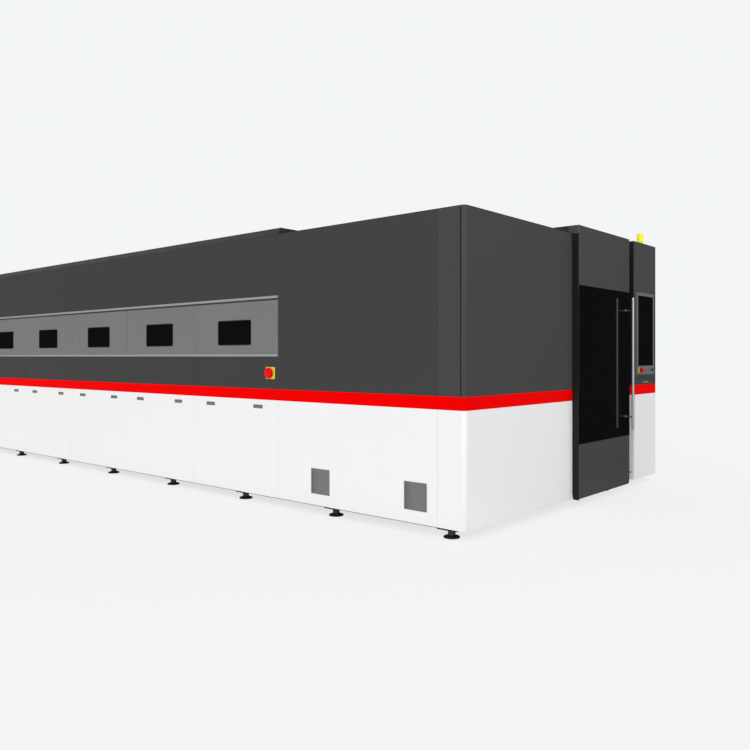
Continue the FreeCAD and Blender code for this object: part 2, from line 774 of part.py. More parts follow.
def door_glass():
    t = (door_front(), door_front() + DOOR_GLASS_T)
    pane = block(t, (DOOR_S, DOOR_S + DOOR_W), (DOOR_GLASS_BOTTOM, DOOR_GLASS_TOP))
    front = X_END - t[0]
    return rounded(pane, UP, DOOR_GLASS_T * GLASS_EDGE_SHARE, lambda p: abs(p.x - front) < 1)


def door_handle():
    s = DOOR_S + DOOR_W - HANDLE_INSET
    axis_t = door_front() - HANDLE_STANDOFF
    bar = rod(HANDLE_D / 2, HANDLE_LENGTH, at(axis_t, s, HANDLE_BOTTOM), UP)
    for z in STANDOFF_HEIGHTS:
        foot = at(door_front(), s, z)
        bar = bar.fuse(rod(STANDOFF_D / 2, HANDLE_STANDOFF, foot, TO_END))
        bar = bar.fuse(rod(ROSETTE_D / 2, ROSETTE_T, foot, TO_END))
    return bar


def track_shape(s, grow=0.0):
    """The door rail's neck and head, larger by grow."""
    neck = (TRACK_Z - TRACK_NECK_H / 2 - grow, TRACK_Z + TRACK_NECK_H / 2 + grow)
    head = (TRACK_Z - TRACK_HEAD_H / 2 - grow, TRACK_Z + TRACK_HEAD_H / 2 + grow)
    neck_end = TRACK_NECK_DEPTH - DOOR_GAP
    wide = block((neck_end - grow, neck_end + TRACK_HEAD_DEPTH + grow), s, head)
    return block((-DOOR_GAP, neck_end), s, neck).fuse(wide).removeSplitter()


def door_rail():
    return track_shape((DOOR_S + DOOR_R, DOOR_S + DOOR_W - DOOR_R))


def door_carriages():
    """Blocks on the hood's front that hold the rail of the leaf, near the doorway's left."""
    pieces = []
    for i in range(TRACK_BLOCKS):
        low = DOOR_S + 2 * DOOR_R + i * (TRACK_BLOCK_W + TRACK_BLOCK_GAP)
        s = (low, low + TRACK_BLOCK_W)
        z = (TRACK_Z - TRACK_BLOCK_H / 2, TRACK_Z + TRACK_BLOCK_H / 2)
        body = block((FIT, HOOD_SETBACK), s, z)
        pieces.append(body.cut(track_shape((low - 1, s[1] + 1), FIT)))
    return pieces


# ---- console


def console_shell(t, z, open_to):
    return pan(t, (CONSOLE_S, WIDTH), z, open_to, CONSOLE_SHEET)


def front_hole(radius, s, z, depth=PANEL_DEPTH):
    return rod(radius, 2 * depth, at(depth, s, z), TO_END)


def control_holes():
    """Holes for the stop button, the two push buttons and the key switch."""
    back = at(NECK_BACK, CONSOLE_STOP_S, CONTROL_Z)
    return [
        many_sided(STOP_NECK_R + FIT, NECK_SIDES, 2 * NECK_BACK, back, TO_END),
        front_hole(BUTTON_R + FIT, RESET_S, CONTROL_Z),
        front_hole(BUTTON_R + FIT, START_S, CONTROL_Z),
        front_hole(KEY_NECK_R + FIT, KEY_S, CONTROL_Z),
    ]


def console_cabinet():
    shell = console_shell((0, CONSOLE_DEPTH), (STRIPE_TOP, CONSOLE_TOP), "down")
    mouth = block(
        (-1, DRAWER_FRONT_T + DRAWER_GAP),
        (CONSOLE_S + CONSOLE_SHEET, WIDTH - CONSOLE_SHEET),
        (STRIPE_TOP - 1, DRAWER_Z[1] + DRAWER_GAP),
    )
    cutout = block(
        (-1, CONSOLE_SHEET + 1),
        (CONSOLE_STOP_S - CONTROL_CUTOUT, KEY_S + CONTROL_CUTOUT),
        (CONTROL_Z - CONTROL_CUTOUT, CONTROL_Z + CONTROL_CUTOUT),
    )
    return shell.cut(mouth).cut(cutout)


def screen_bezel():
    plate = block((-BEZEL_T, 0), BEZEL_S, BEZEL_Z)
    plate = plate.cut(block((-BEZEL_T - 1, -SCREEN_RECESS), SCREEN_S, SCREEN_Z))
    for hole in control_holes():
        plate = plate.cut(hole)
    return plate


def screen_glass():
    return block((-BEZEL_T + SCREEN_RECESS, -SCREEN_RECESS), SCREEN_S, SCREEN_Z)


def keyboard_drawer():
    """The drawer's front, its tray and the small pull on the front."""
    inset = CONSOLE_SHEET + DRAWER_SIDE_GAP
    front = block((0, DRAWER_FRONT_T), (CONSOLE_S + inset, WIDTH - inset), DRAWER_Z)
    tray_t = (DRAWER_FRONT_T - DRAWER_WALL, DRAWER_FRONT_T + DRAWER_DEPTH)
    tray = pan(tray_t, DRAWER_TRAY_S, DRAWER_TRAY_Z, "up", DRAWER_WALL)
    middle = (CONSOLE_S + WIDTH) / 2
    pull_low = DRAWER_Z[0] + DRAWER_PULL_LOW
    pull = block(
        (-DRAWER_PULL_DEPTH, 0),
        (middle - DRAWER_PULL_W / 2, middle + DRAWER_PULL_W / 2),
        (pull_low, pull_low + DRAWER_PULL_H),
    )
    return front.fuse(tray).fuse(pull).removeSplitter()


def drawer_runners():
    """Two side runners that carry the drawer's tray inside the console."""
    z = (DRAWER_TRAY_Z[0] + TRAY_RISE, DRAWER_TRAY_Z[0] + TRAY_RISE + RUNNER_H)
    t = (JAMB_SETBACK, CONSOLE_DEPTH - CONSOLE_SHEET)
    return [block(t, (start, start + RUNNER_W), z) for start in (RUNNER_LEFT, RUNNER_RIGHT - RUNNER_W)]


def keyboard():
    bottom = DRAWER_TRAY_Z[0] + DRAWER_WALL
    top = bottom + KEYBOARD_T
    start = DRAWER_FRONT_T + KEYBOARD_SETBACK
    s = (DRAWER_TRAY_S[0] + KEYBOARD_GAP, DRAWER_TRAY_S[1] - KEYBOARD_GAP)
    body = block((start, start + KEYBOARD_DEPTH), s, (bottom, top))
    pitch = (KEYBOARD_DEPTH - 2 * KEY_ROW_MARGIN) / KEY_ROWS
    row_s = (s[0] + KEY_ROW_MARGIN, s[1] - KEY_ROW_MARGIN)
    for row in range(KEY_ROWS):
        low = start + KEY_ROW_MARGIN + row * pitch
        row_t = (low + KEY_ROW_GAP / 2, low + pitch - KEY_ROW_GAP / 2)
        body = body.fuse(block(row_t, row_s, (top, top + KEY_CAP_H)))
    return body


def beacon():
    """The signal lamp: a plain round lens."""
    return rod(BEACON_R, BEACON_H, at(BEACON_T, BEACON_S, CONSOLE_TOP), UP)


# ---- buttons


def mushroom(head_r, height, travel, place, direction):
    """A stop button: a domed head on a neck that runs in its hole."""
    under = travel + STOP_SHOULDER
    profile = [
        (0, under),
        (head_r, under),
        (head_r, height - head_r * DOME_SHARE),
        (head_r * (1 - DOME_SHARE), height),
        (0, height),
    ]
    head = turned(profile, place, direction)
    back = place - direction * NECK_BACK
    return head.fuse(many_sided(STOP_NECK_R, NECK_SIDES, NECK_BACK + under, back, direction))


def push_button(s):
    return rod(BUTTON_R, NECK_BACK + BUTTON_H, at(NECK_BACK - BEZEL_T, s, CONTROL_Z), TO_END)


def key_switch():
    """The switch's turning barrel with the grip across its front."""
    back = at(NECK_BACK - BEZEL_T, KEY_S, CONTROL_Z)
    neck = many_sided(KEY_NECK_R, NECK_SIDES, NECK_BACK + KEY_BARREL_H, back, TO_END)
    barrel = rod(KEY_BARREL_R, KEY_BARREL_H - FIT, at(-BEZEL_T - FIT, KEY_S, CONTROL_Z), TO_END)
    grip = block(
        (-BEZEL_T - KEY_GRIP_REACH, -BEZEL_T - KEY_BARREL_H),
        (KEY_S - KEY_GRIP_T / 2, KEY_S + KEY_GRIP_T / 2),
        (CONTROL_Z - KEY_GRIP_W / 2, CONTROL_Z + KEY_GRIP_W / 2),
    )
    return neck.fuse(barrel).fuse(grip)


def side_stop_hole():
    """The hole that the side stop button's neck runs in, through its plate and the panel."""
    back = at(STOP_T, PANEL_DEPTH, STOP_Z)
    return many_sided(STOP_NECK_R + FIT, NECK_SIDES, 2 * PANEL_DEPTH, back, TO_NEAR)


def side_stop_plate():
    half = STOP_PLATE / 2
    plate = block((STOP_T - half, STOP_T + half), (-STOP_PLATE_T, 0), (STOP_Z - half, STOP_Z + half))
    return rounded(plate, TO_NEAR, STOP_PLATE_R).cut(side_stop_hole())


# ---- bed and gantry


def rail_middles():
    return (MIDDLE - RAIL_SPACING / 2, MIDDLE + RAIL_SPACING / 2)


def bed_back():
    return LENGTH - PANEL_DEPTH - POST - BED_END_GAP


def bed_beams():
    z = (BASE_TOP, BED_TOP)
    return [
        tube((BED_FRONT, bed_back()), (s - BED_W / 2, s + BED_W / 2), z, BED_WALL)
        for s in rail_middles()
    ]


def rail_outline(s, z, width, height):
    """A guide rail's section, waisted on both sides."""
    half, waist = width / 2, width / 2 - width / 7
    right = [(half, 0), (half, height * 0.3), (waist, height * 0.5), (half, height * 0.7), (half, height)]
    left = [(-x, y) for x, y in reversed(right)]
    return [(s + x, z + y) for x, y in right + left]


def x_rails():
    """The gantry's guide rails on the bed, and the magnet track beside each."""
    t = (BED_FRONT + RAIL_INSET, bed_back() - RAIL_INSET)
    pieces = []
    for s, way in zip(rail_middles(), (-1, 1)):
        pieces.append(section(rail_outline(s, BED_TOP, RAIL_W, RAIL_H), t))
        edges = sorted((s + way * (BED_W / 2 - MAGNET_W), s + way * BED_W / 2))
        pieces.append(block(t, tuple(edges), (BED_TOP, BED_TOP + MAGNET_T)))
    return pieces


def gantry_bottom():
    return BED_TOP + BEARING_H + SADDLE_T


def gantry_beam():
    first, last = rail_middles()
    s = (first - GANTRY_OVERHANG, last + GANTRY_OVERHANG)
    z = (gantry_bottom(), gantry_bottom() + GANTRY_H)
    return tube((GANTRY_T, GANTRY_T + GANTRY_W), s, z, GANTRY_WALL)


def saddle_t():
    middle = GANTRY_T + GANTRY_W / 2
    return (middle - SADDLE_L / 2, middle + SADDLE_L / 2)


def gantry_saddles():
    """Under each end of the beam: a plate and the two bearing blocks that ride on the rail."""
    pieces = []
    t0, t1 = saddle_t()
    block_z = (BED_TOP + BEARING_LIFT, BED_TOP + BEARING_H)
    for s in rail_middles():
        plate = block((t0, t1), (s - SADDLE_W / 2, s + SADDLE_W / 2), (block_z[1], gantry_bottom()))
        pieces.append(plate)
        for start in (t0 + BEARING_INSET, t1 - BEARING_INSET - BEARING_L):
            body = block((start, start + BEARING_L), (s - BEARING_W / 2, s + BEARING_W / 2), block_z)
            groove = block(
                (start - 1, start + BEARING_L + 1),
                (s - RAIL_W / 2 - FIT, s + RAIL_W / 2 + FIT),
                (BED_TOP, BED_TOP + RAIL_H + FIT),
            )
            pieces.append(body.cut(groove))
    return pieces


def gantry_drives():
    """The linear drives' coil units, under the saddles and over the magnet tracks."""
    pieces = []
    t0, t1 = saddle_t()
    for s, way in zip(rail_middles(), (-1, 1)):
        inner = s + way * (BED_W / 2 - MAGNET_W + FIT)
        edges = sorted((inner, s + way * (BED_W / 2 + COIL_OVERHANG)))
        z = (BED_TOP + MAGNET_T + AIR_GAP, BED_TOP + BEARING_H)
        pieces.append(block((t0 + COIL_INSET, t1 - COIL_INSET), tuple(edges), z))
    return pieces


def beam_face():
    return GANTRY_T + GANTRY_W


def cross_rail_heights():
    low = gantry_bottom() + CROSS_RAIL_INSET
    high = gantry_bottom() + GANTRY_H - CROSS_RAIL_INSET
    return (low, high)


def cross_rails():
    """The carriage's two rails on the beam's face, and the magnet track between them."""
    first, last = rail_middles()
    s = (first - BED_W / 2, last + BED_W / 2)
    face = beam_face()
    pieces = []
    for z in cross_rail_heights():
        outline = rail_outline(0, 0, CROSS_RAIL_W, CROSS_RAIL_H)
        points = [at(face + depth, s[0], z + across) for across, depth in outline]
        pieces.append(prism(points, TO_NEAR * (s[0] - s[1])))
    middle = sum(cross_rail_heights()) / 2
    pieces.append(block((face, face + MAGNET_T), s, (middle - MAGNET_W, middle + MAGNET_W)))
    return pieces


def carriage_front():
    return beam_face() + CROSS_BEARING_H + CARRIAGE_T


def cross_carriage():
    """The carriage's plate, its bearing blocks, its coil unit and the head's upright rails."""
    face = beam_face()
    half = CARRIAGE_W / 2
    s = (CARRIAGE_S - half, CARRIAGE_S + half)
    low, high = cross_rail_heights()
    margin = CROSS_BEARING_W / 2 + CARRIAGE_EDGE
    plate_z = (low - margin, high + margin)
    pieces = [block((face + CROSS_BEARING_H, carriage_front()), s, plate_z)]
    length = CARRIAGE_W / 3
    for z in (low, high):
        for start in (s[0] + CARRIAGE_EDGE, s[1] - CARRIAGE_EDGE - length):
            body = block(
                (face + BEARING_LIFT, face + CROSS_BEARING_H),
                (start, start + length),
                (z - CROSS_BEARING_W / 2, z + CROSS_BEARING_W / 2),
            )
            groove = block(
                (face, face + CROSS_RAIL_H + FIT),
                (start - 1, start + length + 1),
                (z - CROSS_RAIL_W / 2 - FIT, z + CROSS_RAIL_W / 2 + FIT),
            )
            pieces.append(body.cut(groove))
    middle = (low + high) / 2
    coil = block(
        (face + MAGNET_T + AIR_GAP, face + CROSS_BEARING_H),
        (s[0] + BEARING_INSET, s[1] - BEARING_INSET),
        (middle - MAGNET_W + CARRIAGE_EDGE, middle + MAGNET_W - CARRIAGE_EDGE),
    )
    pieces.append(coil)
    for way in (-1, 1):
        rail_s = CARRIAGE_S + way * HEAD_RAIL_SPACING / 2
        pieces.append(
            block(
                (carriage_front(), carriage_front() + HEAD_RAIL_H),
                (rail_s - HEAD_RAIL_W / 2, rail_s + HEAD_RAIL_W / 2),
                plate_z,
            )
        )
    return pieces


def slat_top():
    return PALLET_BOTTOM + FIT + PALLET_CROSS_H + SLAT_H


def above(tip, heights):
    return (tip + heights[0], tip + heights[1])


def cutting_head():
    """The head on its slide plate: nozzle, sensor barrel, optics housing and collimator."""
    tip = slat_top() + NOZZLE_GAP + HEAD_TRAVEL
    plate_t = (carriage_front() + FIT, carriage_front() + HEAD_RAIL_H + HEAD_PLATE_T)
    plate_z = above(tip, HEAD_PLATE_Z)
    half = HEAD_RAIL_SPACING / 2 + HEAD_RAIL_W / 2 + HEAD_PLATE_EDGE
    plate = block(plate_t, (CARRIAGE_S - half, CARRIAGE_S + half), plate_z)
    for way in (-1, 1):
        rail_s = CARRIAGE_S + way * HEAD_RAIL_SPACING / 2
        groove = block(
            (plate_t[0] - 1, carriage_front() + HEAD_RAIL_H + FIT),
            (rail_s - HEAD_RAIL_W / 2 - FIT, rail_s + HEAD_RAIL_W / 2 + FIT),
            (plate_z[0] - 1, plate_z[1] + 1),
        )
        plate = plate.cut(groove)
    front_t = plate_t[1] + HEAD_BODY
    body_s = (CARRIAGE_S - HEAD_BODY / 2, CARRIAGE_S + HEAD_BODY / 2)
    housing = block((plate_t[1], front_t), body_s, above(tip, HEAD_BODY_Z))
    housing = rounded(housing, UP, HEAD_BODY_R, lambda p: abs(p.x - (X_END - front_t)) < 1)
    profile = [
        (0, 0),
        (NOZZLE_R, 0),
        (HEAD_BARREL_R, NOZZLE_H),
        (HEAD_BARREL_R, HEAD_BARREL_TOP),
        (0, HEAD_BARREL_TOP),
    ]
    barrel = turned(profile, at(front_t - HEAD_BODY / 2, CARRIAGE_S, tip), UP)
    return plate.fuse(housing).fuse(barrel)


# ---- pallet


def pallet_t():
    rear = LENGTH - SHIELD_T
    return (rear - PALLET_L, rear)


def pallet_s():
    return (MIDDLE - PALLET_W / 2, MIDDLE + PALLET_W / 2)


def pallet_frame():
    """The pallet's long sides and cross tubes, and the shield that closes the slot behind it."""
    t, s = pallet_t(), pallet_s()
    bottom = PALLET_BOTTOM + FIT
    side_z = (bottom, bottom + PALLET_SIDE_H)
    cross_z = (bottom, bottom + PALLET_CROSS_H)
    inner = (s[0] + PALLET_SIDE_W, s[1] - PALLET_SIDE_W)
    long_t = (t[0], LENGTH - SHEET)
    pieces = [tube(long_t, (s[0], inner[0]), side_z), tube(long_t, (inner[1], s[1]), side_z)]
    pitch = (PALLET_L - TUBE_W) / (PALLET_CROSSES - 1)
    for i in range(PALLET_CROSSES):
        start = t[0] + i * pitch
        pieces.append(tube((start, start + TUBE_W), inner, cross_z))
    across = slot_side() + SHIELD_GAP
    shield_z = (SLOT_BOTTOM + SHIELD_GAP, STRIPE_BOTTOM - SHIELD_GAP)
    pieces.append(pan((t[1], LENGTH), (across, WIDTH - across), shield_z, "end"))
    return pieces


def slat(t):
    """One slat on edge, with a toothed top."""
    s0, s1 = pallet_s()
    s0, s1 = s0 + PALLET_SIDE_W, s1 - PALLET_SIDE_W
    bottom = PALLET_BOTTOM + FIT + PALLET_CROSS_H
    valley, peak = slat_top() - TOOTH_H, slat_top()
    pitch = (s1 - s0) / SLAT_TEETH
    points = [(s0, bottom), (s0, valley)]
    for i in range(SLAT_TEETH):
        start = s0 + i * pitch
        points += [(start + pitch / 2, peak), (start + pitch, valley)]
    points.append((s1, bottom))
    return section(points, (t, t + SLAT_T))


def pallet_slats():
    first, last = pallet_t()
    count = int((last - first - TUBE_W) / SLAT_PITCH)
    return [slat(first + TUBE_W / 2 + i * SLAT_PITCH) for i in range(count + 1)]


def pallet_tracks():
    """An angle on the inner face of each bed beam that the pallet's sides run on."""
    t = (BED_FRONT, bed_back())
    pieces = []
    z = PALLET_BOTTOM
    for far in (False, True):
        inner_face = rail_middles()[0] + BED_W / 2
        lip = MIDDLE - PALLET_W / 2 + PALLET_SIDE_W
        outline = [
            (inner_face, z - TRACK_LEG),
            (inner_face + TRACK_T, z - TRACK_LEG),
            (inner_face + TRACK_T, z - TRACK_T),
            (lip, z - TRACK_T),
            (lip, z),
            (inner_face, z),
        ]
        if far:
            outline = [(WIDTH - s, height) for s, height in outline]
        pieces.append(section(outline, t))
    return pieces


def slag_trough():
    """Sloped sheets below the pallet and the tray that they lead to."""
    t = (BED_FRONT + BED_W / 2, bed_back() - BED_W / 2)
    left, right = MIDDLE - TRAY_W / 2, MIDDLE + TRAY_W / 2
    top = BASE_TOP + TRAY_H
    pieces = [pan(t, (left, right), (BASE_TOP, top), "up", TRAY_WALL)]
    for far in (False, True):
        face = rail_middles()[0] + BED_W / 2
        outline = [
            (face, CHUTE_TOP),
            (left - TRAY_WALL, top),
            (left + 2 * TRAY_WALL, top),
            (left + 2 * TRAY_WALL, top + CHUTE_T),
            (left - TRAY_WALL, top + CHUTE_T),
            (face, CHUTE_TOP + CHUTE_T),
        ]
        if far:
            outline = [(WIDTH - s, height) for s, height in outline]
        pieces.append(section(outline, t))
    return pieces


# ---- equipment


def equipment_cabinets():
    """The laser source and the electrical equipment, in the middle of the closed block."""
    middle = (side_strips()[0][1] + END_COVER_S - PANEL_DEPTH) / 2
    electrics_setback = FRONT_BLOCK - ELECTRICS_GAP - ELECTRICS_SIZE[0]
    pieces = []
    for start, size in ((LASER_SOURCE_SETBACK, LASER_SOURCE_SIZE), (electrics_setback, ELECTRICS_SIZE)):
        length, width, height = size
        s = (middle - width / 2, middle + width / 2)
        pieces.append(pan((start, start + length), s, (FLOOR_TOP, FLOOR_TOP + height), "down", CABINET_WALL))
    return pieces


# ---- the whole machine


def main():
    os.makedirs("parts", exist_ok=True)
    lower = (PANEL_BOTTOM, STRIPE_BOTTOM)
    stripe = (STRIPE_BOTTOM, STRIPE_TOP)
    dark = (STRIPE_TOP, ROOF_SEAT)
    block_t = (COVER_WRAP + SEAM / 2, FRONT_BLOCK - SEAM / 2)

    save("base_frame", *base_frame(), *[foot_bracket(t, s) for t, s in foot_places()])
    save("floor_plates", *floor_plates())
    save("levelling_feet", *[levelling_foot(t, s) for t, s in foot_places()])
    save("enclosure_frame", *enclosure_frame())
    save("inner_walls", *inner_walls())
    save("roof_sheets", front_roof(), main_roof())
    save("door_hood", door_hood())

    save("end_cover_upper", end_cover(dark))
    save("end_cover_lower", end_cover(lower))
    save("block_cover_upper", side_panel(False, block_t, dark))
    block_lower = side_panel(False, block_t, lower)
    for start in VENT_STARTS:
        block_lower = block_lower.cut(vent_block(start, VENT_LIP, (-1, PANEL_DEPTH)))
    save("block_cover_lower", block_lower)
    save("vent_grilles", *[vent_grille(start) for start in VENT_STARTS])

    save("upper_panels", *[side_panel(False, t, (BAND_TOP + SHADOW_GAP, ROOF_SEAT)) for t in bays()])
    waist = [side_panel(False, t, (STRIPE_TOP, BAND_BOTTOM)) for t in bays()]
    waist[0] = waist[0].cut(side_stop_hole())
    save("waist_panels", *waist)
    save("window_panels", *[band_panel(t) for t in bays()])
    save("window_panes", *[window_pane(t) for t in bays()])
    band_t = (FRONT_BLOCK + SEAM / 2, HALL_END - SEAM / 2)
    trims = [(BAND_BOTTOM, BAND_BOTTOM + TRIM_H), (BAND_TOP - TRIM_H, BAND_TOP)]
    save("band_trims", *[side_panel(False, band_t, z) for z in trims])
    for number, t in enumerate(bays(), 1):
        save(f"lower_cover_{number}", lower_cover(t))
    save("cover_pulls", *[finger_pull(place) for t in bays() for place in pull_places(t)])

    aisle_low = (JAMB_SETBACK, FRONT_BLOCK - SEAM / 2)
    aisle_high = (CONSOLE_DEPTH, FRONT_BLOCK - SEAM / 2)
    save("back_panels_upper", *[side_panel(True, t, dark) for t in [aisle_high] + bays()])
    save("back_panels_lower", *[side_panel(True, t, lower) for t in [aisle_low] + bays()])
    save("rear_cover_upper", *rear_corners(dark), rear_middle(dark))
    save("rear_cover_lower", *rear_corners(lower), rear_middle((PANEL_BOTTOM, SLOT_BOTTOM)))
    stripes = [end_cover(stripe), side_panel(False, block_t, stripe)]
    stripes += [side_panel(False, t, stripe) for t in bays()]
    stripes += [side_panel(True, t, stripe) for t in [aisle_low] + bays()]
    stripes += rear_corners(stripe) + [rear_middle(stripe)]
    stripes.append(console_shell((0, JAMB_SETBACK), stripe, "rear"))
    save("red_stripe", *stripes)

    save("console_cabinet", console_cabinet())
    save("console_lower", console_shell((0, JAMB_SETBACK), lower, "rear"))
    save("screen_bezel", screen_bezel())
    save("screen_glass", screen_glass())
    save("drawer_runners", *drawer_runners())
    save("beacon", beacon())
    save("keyboard_drawer", keyboard_drawer())
    save("keyboard", keyboard())
    place = at(-BEZEL_T, CONSOLE_STOP_S, CONTROL_Z)
    button = mushroom(CONSOLE_STOP_R, CONSOLE_STOP_HEIGHT, CONSOLE_STOP_TRAVEL, place, TO_END)
    save("console_stop_button", button)
    save("reset_button", push_button(RESET_S))
    save("start_button", push_button(START_S))
    save("key_switch", key_switch())
    save("side_stop_plate", side_stop_plate())
    place = at(STOP_T, -STOP_PLATE_T, STOP_Z)
    save("side_stop_button", mushroom(STOP_HEAD_R, STOP_HEIGHT, STOP_TRAVEL, place, TO_NEAR))

    save("door_leaf", door_leaf())
    save("door_glass", door_glass())
    save("door_handle", door_handle())
    save("door_rail", door_rail())
    save("door_carriages", *door_carriages())

    save("bed_beams", *bed_beams())
    save("x_rails", *x_rails())
    save("pallet_tracks", *pallet_tracks())
    save("slag_trough", *slag_trough())
    save("gantry_beam", gantry_beam())
    save("gantry_saddles", *gantry_saddles(), *gantry_drives())
    save("cross_rails", *cross_rails())
    save("cross_carriage", *cross_carriage())
    save("cutting_head", cutting_head())
    save("pallet_frame", *pallet_frame())
    save("pallet_slats", *pallet_slats())
    save("equipment_cabinets", *equipment_cabinets())


main()
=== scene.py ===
import json
import math

import bmesh
import bpy
from mathutils import Matrix, Vector


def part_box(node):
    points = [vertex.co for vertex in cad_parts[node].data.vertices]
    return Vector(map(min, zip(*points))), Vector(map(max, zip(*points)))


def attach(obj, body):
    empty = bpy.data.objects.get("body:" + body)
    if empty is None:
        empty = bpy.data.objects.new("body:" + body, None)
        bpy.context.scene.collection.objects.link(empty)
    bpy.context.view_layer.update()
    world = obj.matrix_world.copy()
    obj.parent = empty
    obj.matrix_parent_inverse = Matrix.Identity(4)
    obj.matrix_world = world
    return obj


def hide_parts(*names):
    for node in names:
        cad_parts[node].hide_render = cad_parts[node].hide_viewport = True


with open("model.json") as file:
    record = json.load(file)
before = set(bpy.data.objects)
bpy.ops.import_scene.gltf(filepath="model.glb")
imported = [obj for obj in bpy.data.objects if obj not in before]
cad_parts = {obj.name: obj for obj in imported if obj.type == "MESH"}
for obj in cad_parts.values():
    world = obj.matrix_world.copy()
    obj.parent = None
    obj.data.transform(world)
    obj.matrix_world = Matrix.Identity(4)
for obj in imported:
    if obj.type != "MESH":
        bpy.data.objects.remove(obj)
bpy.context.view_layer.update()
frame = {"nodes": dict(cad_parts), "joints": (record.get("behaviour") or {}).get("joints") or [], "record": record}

# Enclosed fiber laser cutting machine, in the frame's own axes: +X towards the end face, -Y towards
# the windowed side. As in the model, places on it are given in millimetres by three distances:
#   t  back from the end face
#   s  in from the windowed long side
#   z  up from the floor

MM = 0.001
NODES = frame["nodes"]
X_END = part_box("end_cover_upper")[1].x
Y_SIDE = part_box("end_cover_upper")[0].y

# ---- camera, solved from the photograph's level two-point perspective
EYE = (-2938.0, -4336.0, 1281.0)
VIEW_TURN = math.radians(40.94)
FOCAL_PIXELS = 753.0
HORIZON_PIXEL = 356.5
PHOTO_PIXELS = 750.0
SENSOR = 36.0

WELD_REACH = 0.00001

# ---- stage and light
BACKDROP = (243, 245, 247)
FLOOR_COLOUR = (240, 241, 243)
FLOOR_SIZE = 120.0
FLOOR_FADE = 9.0  # metres out to where the floor has turned into the backdrop
FLOOR_LIFT = 0.8  # share of the backdrop in the floor that the camera sees, under the shadow
SKY_STRENGTH = 0.83
SUN_STRENGTH = 1.09
SUN_FROM = (0.45, -0.8, 0.5)
SUN_SPREAD = math.radians(40)

# dark cards that only gloss sees, by their ranges of t and s and the height of their tops
FLAG_COLOUR = (24, 24, 26)
FAR_FLAG_S = 6500.0
END_FLAG_T = (500.0, -4300.0)
END_FLAG_TOP = 5000.0
CORNER_FLAG_T = (-6000.0, -12000.0)
CORNER_FLAG_TOP = 6000.0
SIDE_FLAG_T = (-700.0, 30000.0)
SIDE_FLAG_S = -5000.0
SIDE_FLAG_TOP = 8000.0
FLOOR_FLAG_T = (-20.0, -7000.0)
FLOOR_FLAG_S = (1200.0, FAR_FLAG_S)
FLOOR_FLAG_LIFT = 1.0


def at(t, s, z):
    """A point of the frame, in metres, from its three distances in millimetres."""
    return Vector((X_END - t * MM, Y_SIDE + s * MM, z * MM))


def extent(node):
    """A node's ranges of t, s and z."""
    low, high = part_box(node)
    return ranges(low, high)


def ranges(low, high):
    """The ranges of t, s and z between a box's two corners."""
    t = ((X_END - high.x) / MM, (X_END - low.x) / MM)
    s = ((low.y - Y_SIDE) / MM, (high.y - Y_SIDE) / MM)
    return t, s, (low.z / MM, high.z / MM)


def middle(span):
    """The middle of a range."""
    return (span[0] + span[1]) / 2


def solid_extents(node):
    """The ranges of t, s and z of each separate solid in a node, in order."""
    form = bmesh.new()
    form.from_mesh(NODES[node].data)
    bmesh.ops.remove_doubles(form, verts=form.verts, dist=WELD_REACH)
    waiting = set(form.verts)
    solids = []
    while waiting:
        group = [waiting.pop()]
        for vert in group:
            near = {edge.other_vert(vert) for edge in vert.link_edges} & waiting
            waiting -= near
            group.extend(near)
        low = Vector(min(vert.co[axis] for vert in group) for axis in range(3))
        high = Vector(max(vert.co[axis] for vert in group) for axis in range(3))
        solids.append(ranges(low, high))
    form.free()
    return sorted(solids)


# ---- sizes of the pieces made here, in millimetres; the rest come from the frame
RING_SIDES = 48
HEX_SIDES = 6
SMOOTH_UP_TO = math.radians(34)
EDGE_TURN = math.radians(40)  # an edge that turns by more is rounded
NODE_ROUND = 0.7
PIECE_ROUND = 0.3
FINE_RELIEF = 0.00002  # metres

# covers, their seams and seals, and dark strips of painted shade
FRONT_BLOCK = 1928.0
MODULE = 1200.0
MODULES = 6
MODULE_SEAMS = [FRONT_BLOCK + MODULE * bay for bay in range(MODULES + 1)]
END_COVER_SEAM = 235.0
PANEL_SEAM = 3.0
STRIP_SHORT = 4.0  # a seam strip is this much shorter than its panels
STRIP_BACK = 8.0  # how deep the strips reach behind the panels
# how far the strips lie below the panels' faces
STRIP_DEPTHS = {"charcoal_panel": 1.4, "grey_band": 2.6, "white_panel": 3.4}
WINDOW_LAP = 15.0  # of a pane behind its panel
WINDOW_R = 20.0
TRIM_HEIGHT = 21.0
TRIM_SHADE_STRIP = 16.0
LIP_START = 215.0  # where the dark lip under the covers begins, back from the end face
LIP_HEIGHT = 4.5
LIP_SETBACK = 3.0
LIP_DEPTH = 14.0
CORNER_R = 35.0
# the painted shade strip beside the end cover's round corner
CORNER_SHADE_STRIP_W = 8.0
CORNER_SHADE_SHIFT = 2.0  # of the painted shade strip's middle, past the corner's round
CORNER_SHADE_SHORT = 10.0  # of the cover's height
ROOF_EDGE = 42.0  # the main roof's leaning edge and a little more
ROOF_CAP_W = 34.0

# vents in the lower cover
VENT_BORDER = 7.5
VENT_LAP = 0.5  # of the louvres and of the filter, under and inside the border's edge
LOUVRE_ROWS = 12
LOUVRE_REACH = 1.7
LOUVRE_TAPER = 4.0
LOUVRE_SHEET = 0.9

